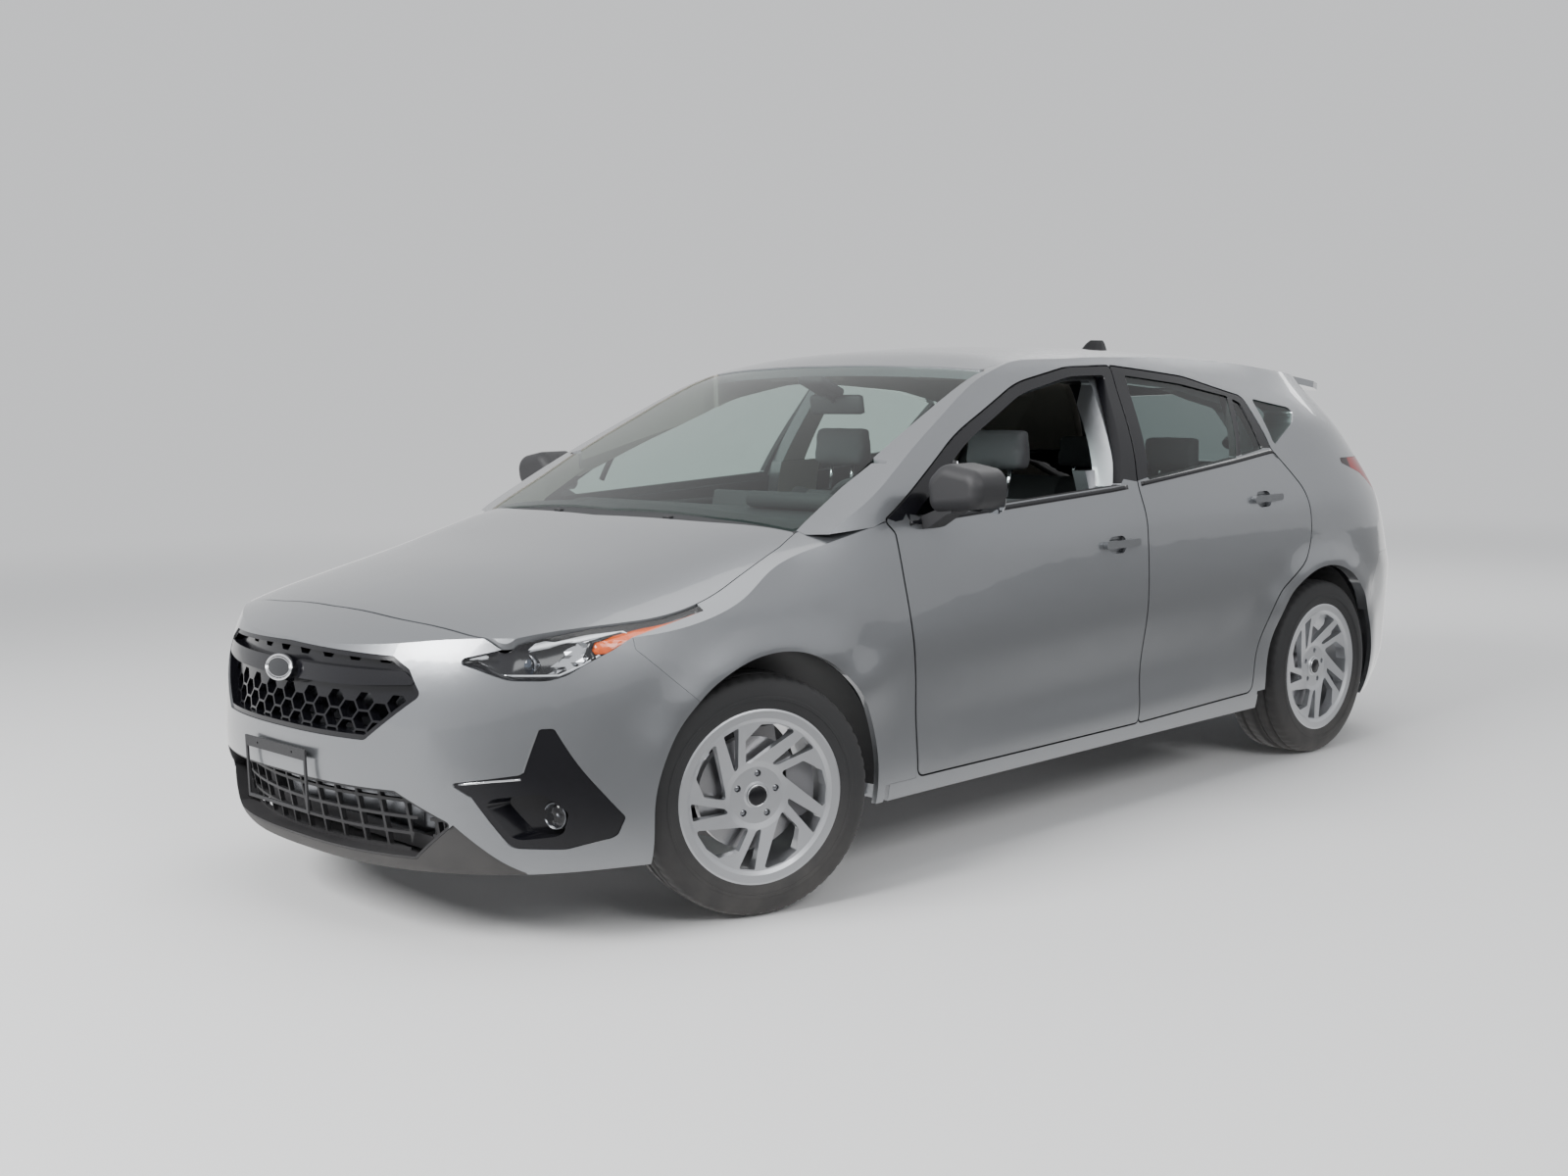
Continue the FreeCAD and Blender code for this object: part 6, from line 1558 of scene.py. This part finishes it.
face_towards(splash_tray, (0, 0, 1))
finish_mesh(splash_tray, thick=0.003)
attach(splash_tray, "body")
apron = patch(
    "rear_apron", bumper_tree, [(-0.560, 0.250), (0.560, 0.250), (0.500, 0.400), (-0.500, 0.400)], BACK,
    lip_plastic, 0.003, 0.002, 0.03, from_back
)
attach(apron, "body")

# %% [markdown]
# The front side window has a slim upright near its front corner, just behind the mirror's foot. Its
# place comes from the closed window on the right, and it opens with the door.
# %% Window uprights of the front doors
pane_tree = tree_of("door_glass_front_right")
UPRIGHT_LEAN = 0.035 / 0.12  # metres back for each metre down
heights = [1.040 + 0.012 * k for k in range(17)]
hits = [onto(pane_tree, (-1.4, -0.556 - UPRIGHT_LEAN * (1.139 - z), z), (1, 0, 0)) for z in heights]
hits = [hit for hit in hits if hit is not None]
for side, sign in SIDES:
    upright = [Vector((sign * (0.002 - hit.x), hit.y, hit.z)) for hit in hits]
    post = bar(f"window_upright_{side}", upright, 0.010, black_gloss, 12)
    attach(post, f"door_front_{side}")
    edge_path = [p + Vector((sign * 0.009, 0.006, 0)) for p in upright]
    edge = bar(f"window_upright_edge_{side}", edge_path, 0.0022, chrome, 8)
    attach(edge, f"door_front_{side}")

# %% [markdown]
# A photographer stands the car on a pale floor that fades into the background. What the paint
# mirrors matters as much as the light on it: the floor that only reflections see is bright on the
# car's right and dark on its left, as with a white and a black board beside the car.
# %% Floor
floor_material = bpy.data.materials.new("pale floor")
floor_material.use_nodes = True
tree = floor_material.node_tree
shader = tree.nodes["Principled BSDF"]
shader.inputs["Base Color"].default_value = (0.80, 0.80, 0.80, 1)
shader.inputs["Roughness"].default_value = 0.9
far_glow = node(tree, "ShaderNodeEmission", in_Strength=0.84)
far_glow.inputs["Color"].default_value = (0.97, 0.98, 1.0, 1)
geometry = node(tree, "ShaderNodeNewGeometry")
distance = node(tree, "ShaderNodeVectorMath", [(geometry.outputs["Position"], 0)], operation="LENGTH")
fade = node(
    tree, "ShaderNodeMapRange", [(distance.outputs["Value"], "Value")], in_From_Min=4.5,
    in_From_Max=13.0, interpolation_type="SMOOTHSTEP"
)
blend = node(
    tree, "ShaderNodeMixShader",
    [(fade.outputs[0], 0), (shader.outputs[0], 1), (far_glow.outputs[0], 2)]
)
sideways = node(tree, "ShaderNodeSeparateXYZ", [(geometry.outputs["Position"], 0)])
board_light = node(
    tree, "ShaderNodeMapRange", [(sideways.outputs["X"], "Value")], in_From_Min=0.2, in_From_Max=2.6,
    in_To_Min=1.25, in_To_Max=0.27, interpolation_type="SMOOTHSTEP"
)
flag = node(tree, "ShaderNodeEmission", [(board_light.outputs[0], "Strength")])
rays = node(tree, "ShaderNodeLightPath")
mirrored_floor = node(
    tree, "ShaderNodeMixShader",
    [(rays.outputs["Is Glossy Ray"], 0), (blend.outputs[0], 1), (flag.outputs[0], 2)]
)
tree.links.new(mirrored_floor.outputs[0], tree.nodes["Material Output"].inputs["Surface"])
floor_mesh = bpy.data.meshes.new("floor")
FLOOR_HALF = 60
floor_corners = [(a * FLOOR_HALF, b * FLOOR_HALF, 0) for a, b in ((-1, -1), (1, -1), (1, 1), (-1, 1))]
floor_mesh.from_pydata(floor_corners, [], [(0, 1, 2, 3)])
floor_mesh.materials.append(floor_material)
floor = bpy.data.objects.new("floor", floor_mesh)
scene.collection.objects.link(floor)

# %% [markdown]
# The sky gives a soft even light. What the camera and the reflections see of it is brighter than
# the light it casts, so that the background is pale and the shadows keep their depth.
# %% Sky
world = bpy.data.worlds.new("studio")
scene.world = world
world.use_nodes = True
tree = world.node_tree
light_sky = tree.nodes["Background"]
light_sky.inputs["Color"].default_value = (0.93, 0.96, 1.0, 1)
light_sky.inputs["Strength"].default_value = 0.42
seen_sky = tree.nodes.new("ShaderNodeBackground")
seen_sky.inputs["Color"].default_value = (0.97, 0.98, 1.0, 1)
seen_sky.inputs["Strength"].default_value = 0.84
rays = tree.nodes.new("ShaderNodeLightPath")
some = node(
    tree, "ShaderNodeMath", [(rays.outputs["Is Camera Ray"], 0), (rays.outputs["Is Glossy Ray"], 1)],
    operation="MAXIMUM"
)
any_ray = node(
    tree, "ShaderNodeMath", [(some.outputs[0], 0), (rays.outputs["Is Transmission Ray"], 1)],
    operation="MAXIMUM"
)
mix = node(
    tree, "ShaderNodeMixShader",
    [(any_ray.outputs[0], 0), (light_sky.outputs[0], 1), (seen_sky.outputs[0], 2)]
)
tree.links.new(mix.outputs[0], tree.nodes["World Output"].inputs["Surface"])

# %% [markdown]
# One big soft source stands high before the nose, and weaker ones stand round the car and over it.
# %% Lamps round the car


def lamp(name, where, target, size, power):
    """A soft rectangular lamp that looks at a point."""
    data = bpy.data.lights.new(name, "AREA")
    data.shape = "RECTANGLE"
    data.size, data.size_y = size
    data.energy = power
    holder = bpy.data.objects.new(name, data)
    scene.collection.objects.link(holder)
    holder.location = where
    holder.rotation_euler = (Vector(target) - Vector(where)).to_track_quat("-Z", "Y").to_euler()
    return holder


lamp("key", (-0.6, -8.2, 5.6), (0, -0.6, 0.6), (4.6, 3.2), 1050)
lamp("fill", (7.6, -1.5, 5.2), (0, 0.2, 0.6), (4.5, 3.0), 300)
lamp("back", (-2.0, 7.5, 5.5), (0, 0.8, 0.8), (6.0, 3.0), 260)
lamp("top", (0, -0.5, 7.5), (0, 0, 0), (5.0, 7.0), 150)

# %% [markdown]
# The camera was fitted to points of the photograph, so its lens, its place and its lean are that
# view's. The shift moves the picture without turning the camera.
# %% Camera
camera_data = bpy.data.cameras.new("camera")
PHOTO_WIDTH, FOCAL_LENGTH, SENSOR = 1600, 1817, 36  # pixels, pixels, millimetres
camera_data.lens = FOCAL_LENGTH * SENSOR / PHOTO_WIDTH
camera_data.shift_x = -120 / PHOTO_WIDTH
camera_data.shift_y = 60 / PHOTO_WIDTH
camera_data.clip_end = 200
camera = bpy.data.objects.new("camera", camera_data)
scene.collection.objects.link(camera)
camera.location = (4.211, -4.332, 1.364)
yaw, pitch, roll = (math.radians(v) for v in (-43.92, -8.48, -0.78))
forward = Vector((math.cos(pitch) * math.sin(yaw), math.cos(pitch) * math.cos(yaw), math.sin(pitch)))
right = forward.cross(Vector((0, 0, 1))).normalized()
upward = right.cross(forward)
turned_right = math.cos(roll) * right + math.sin(roll) * upward
turned_up = math.cos(roll) * upward - math.sin(roll) * right
camera.matrix_world = Matrix.Translation(camera.location) @ Matrix(
    (turned_right, turned_up, -forward)
).transposed().to_4x4()
scene.camera = camera
print("camera at", tuple(round(v, 3) for v in camera.matrix_world.translation))
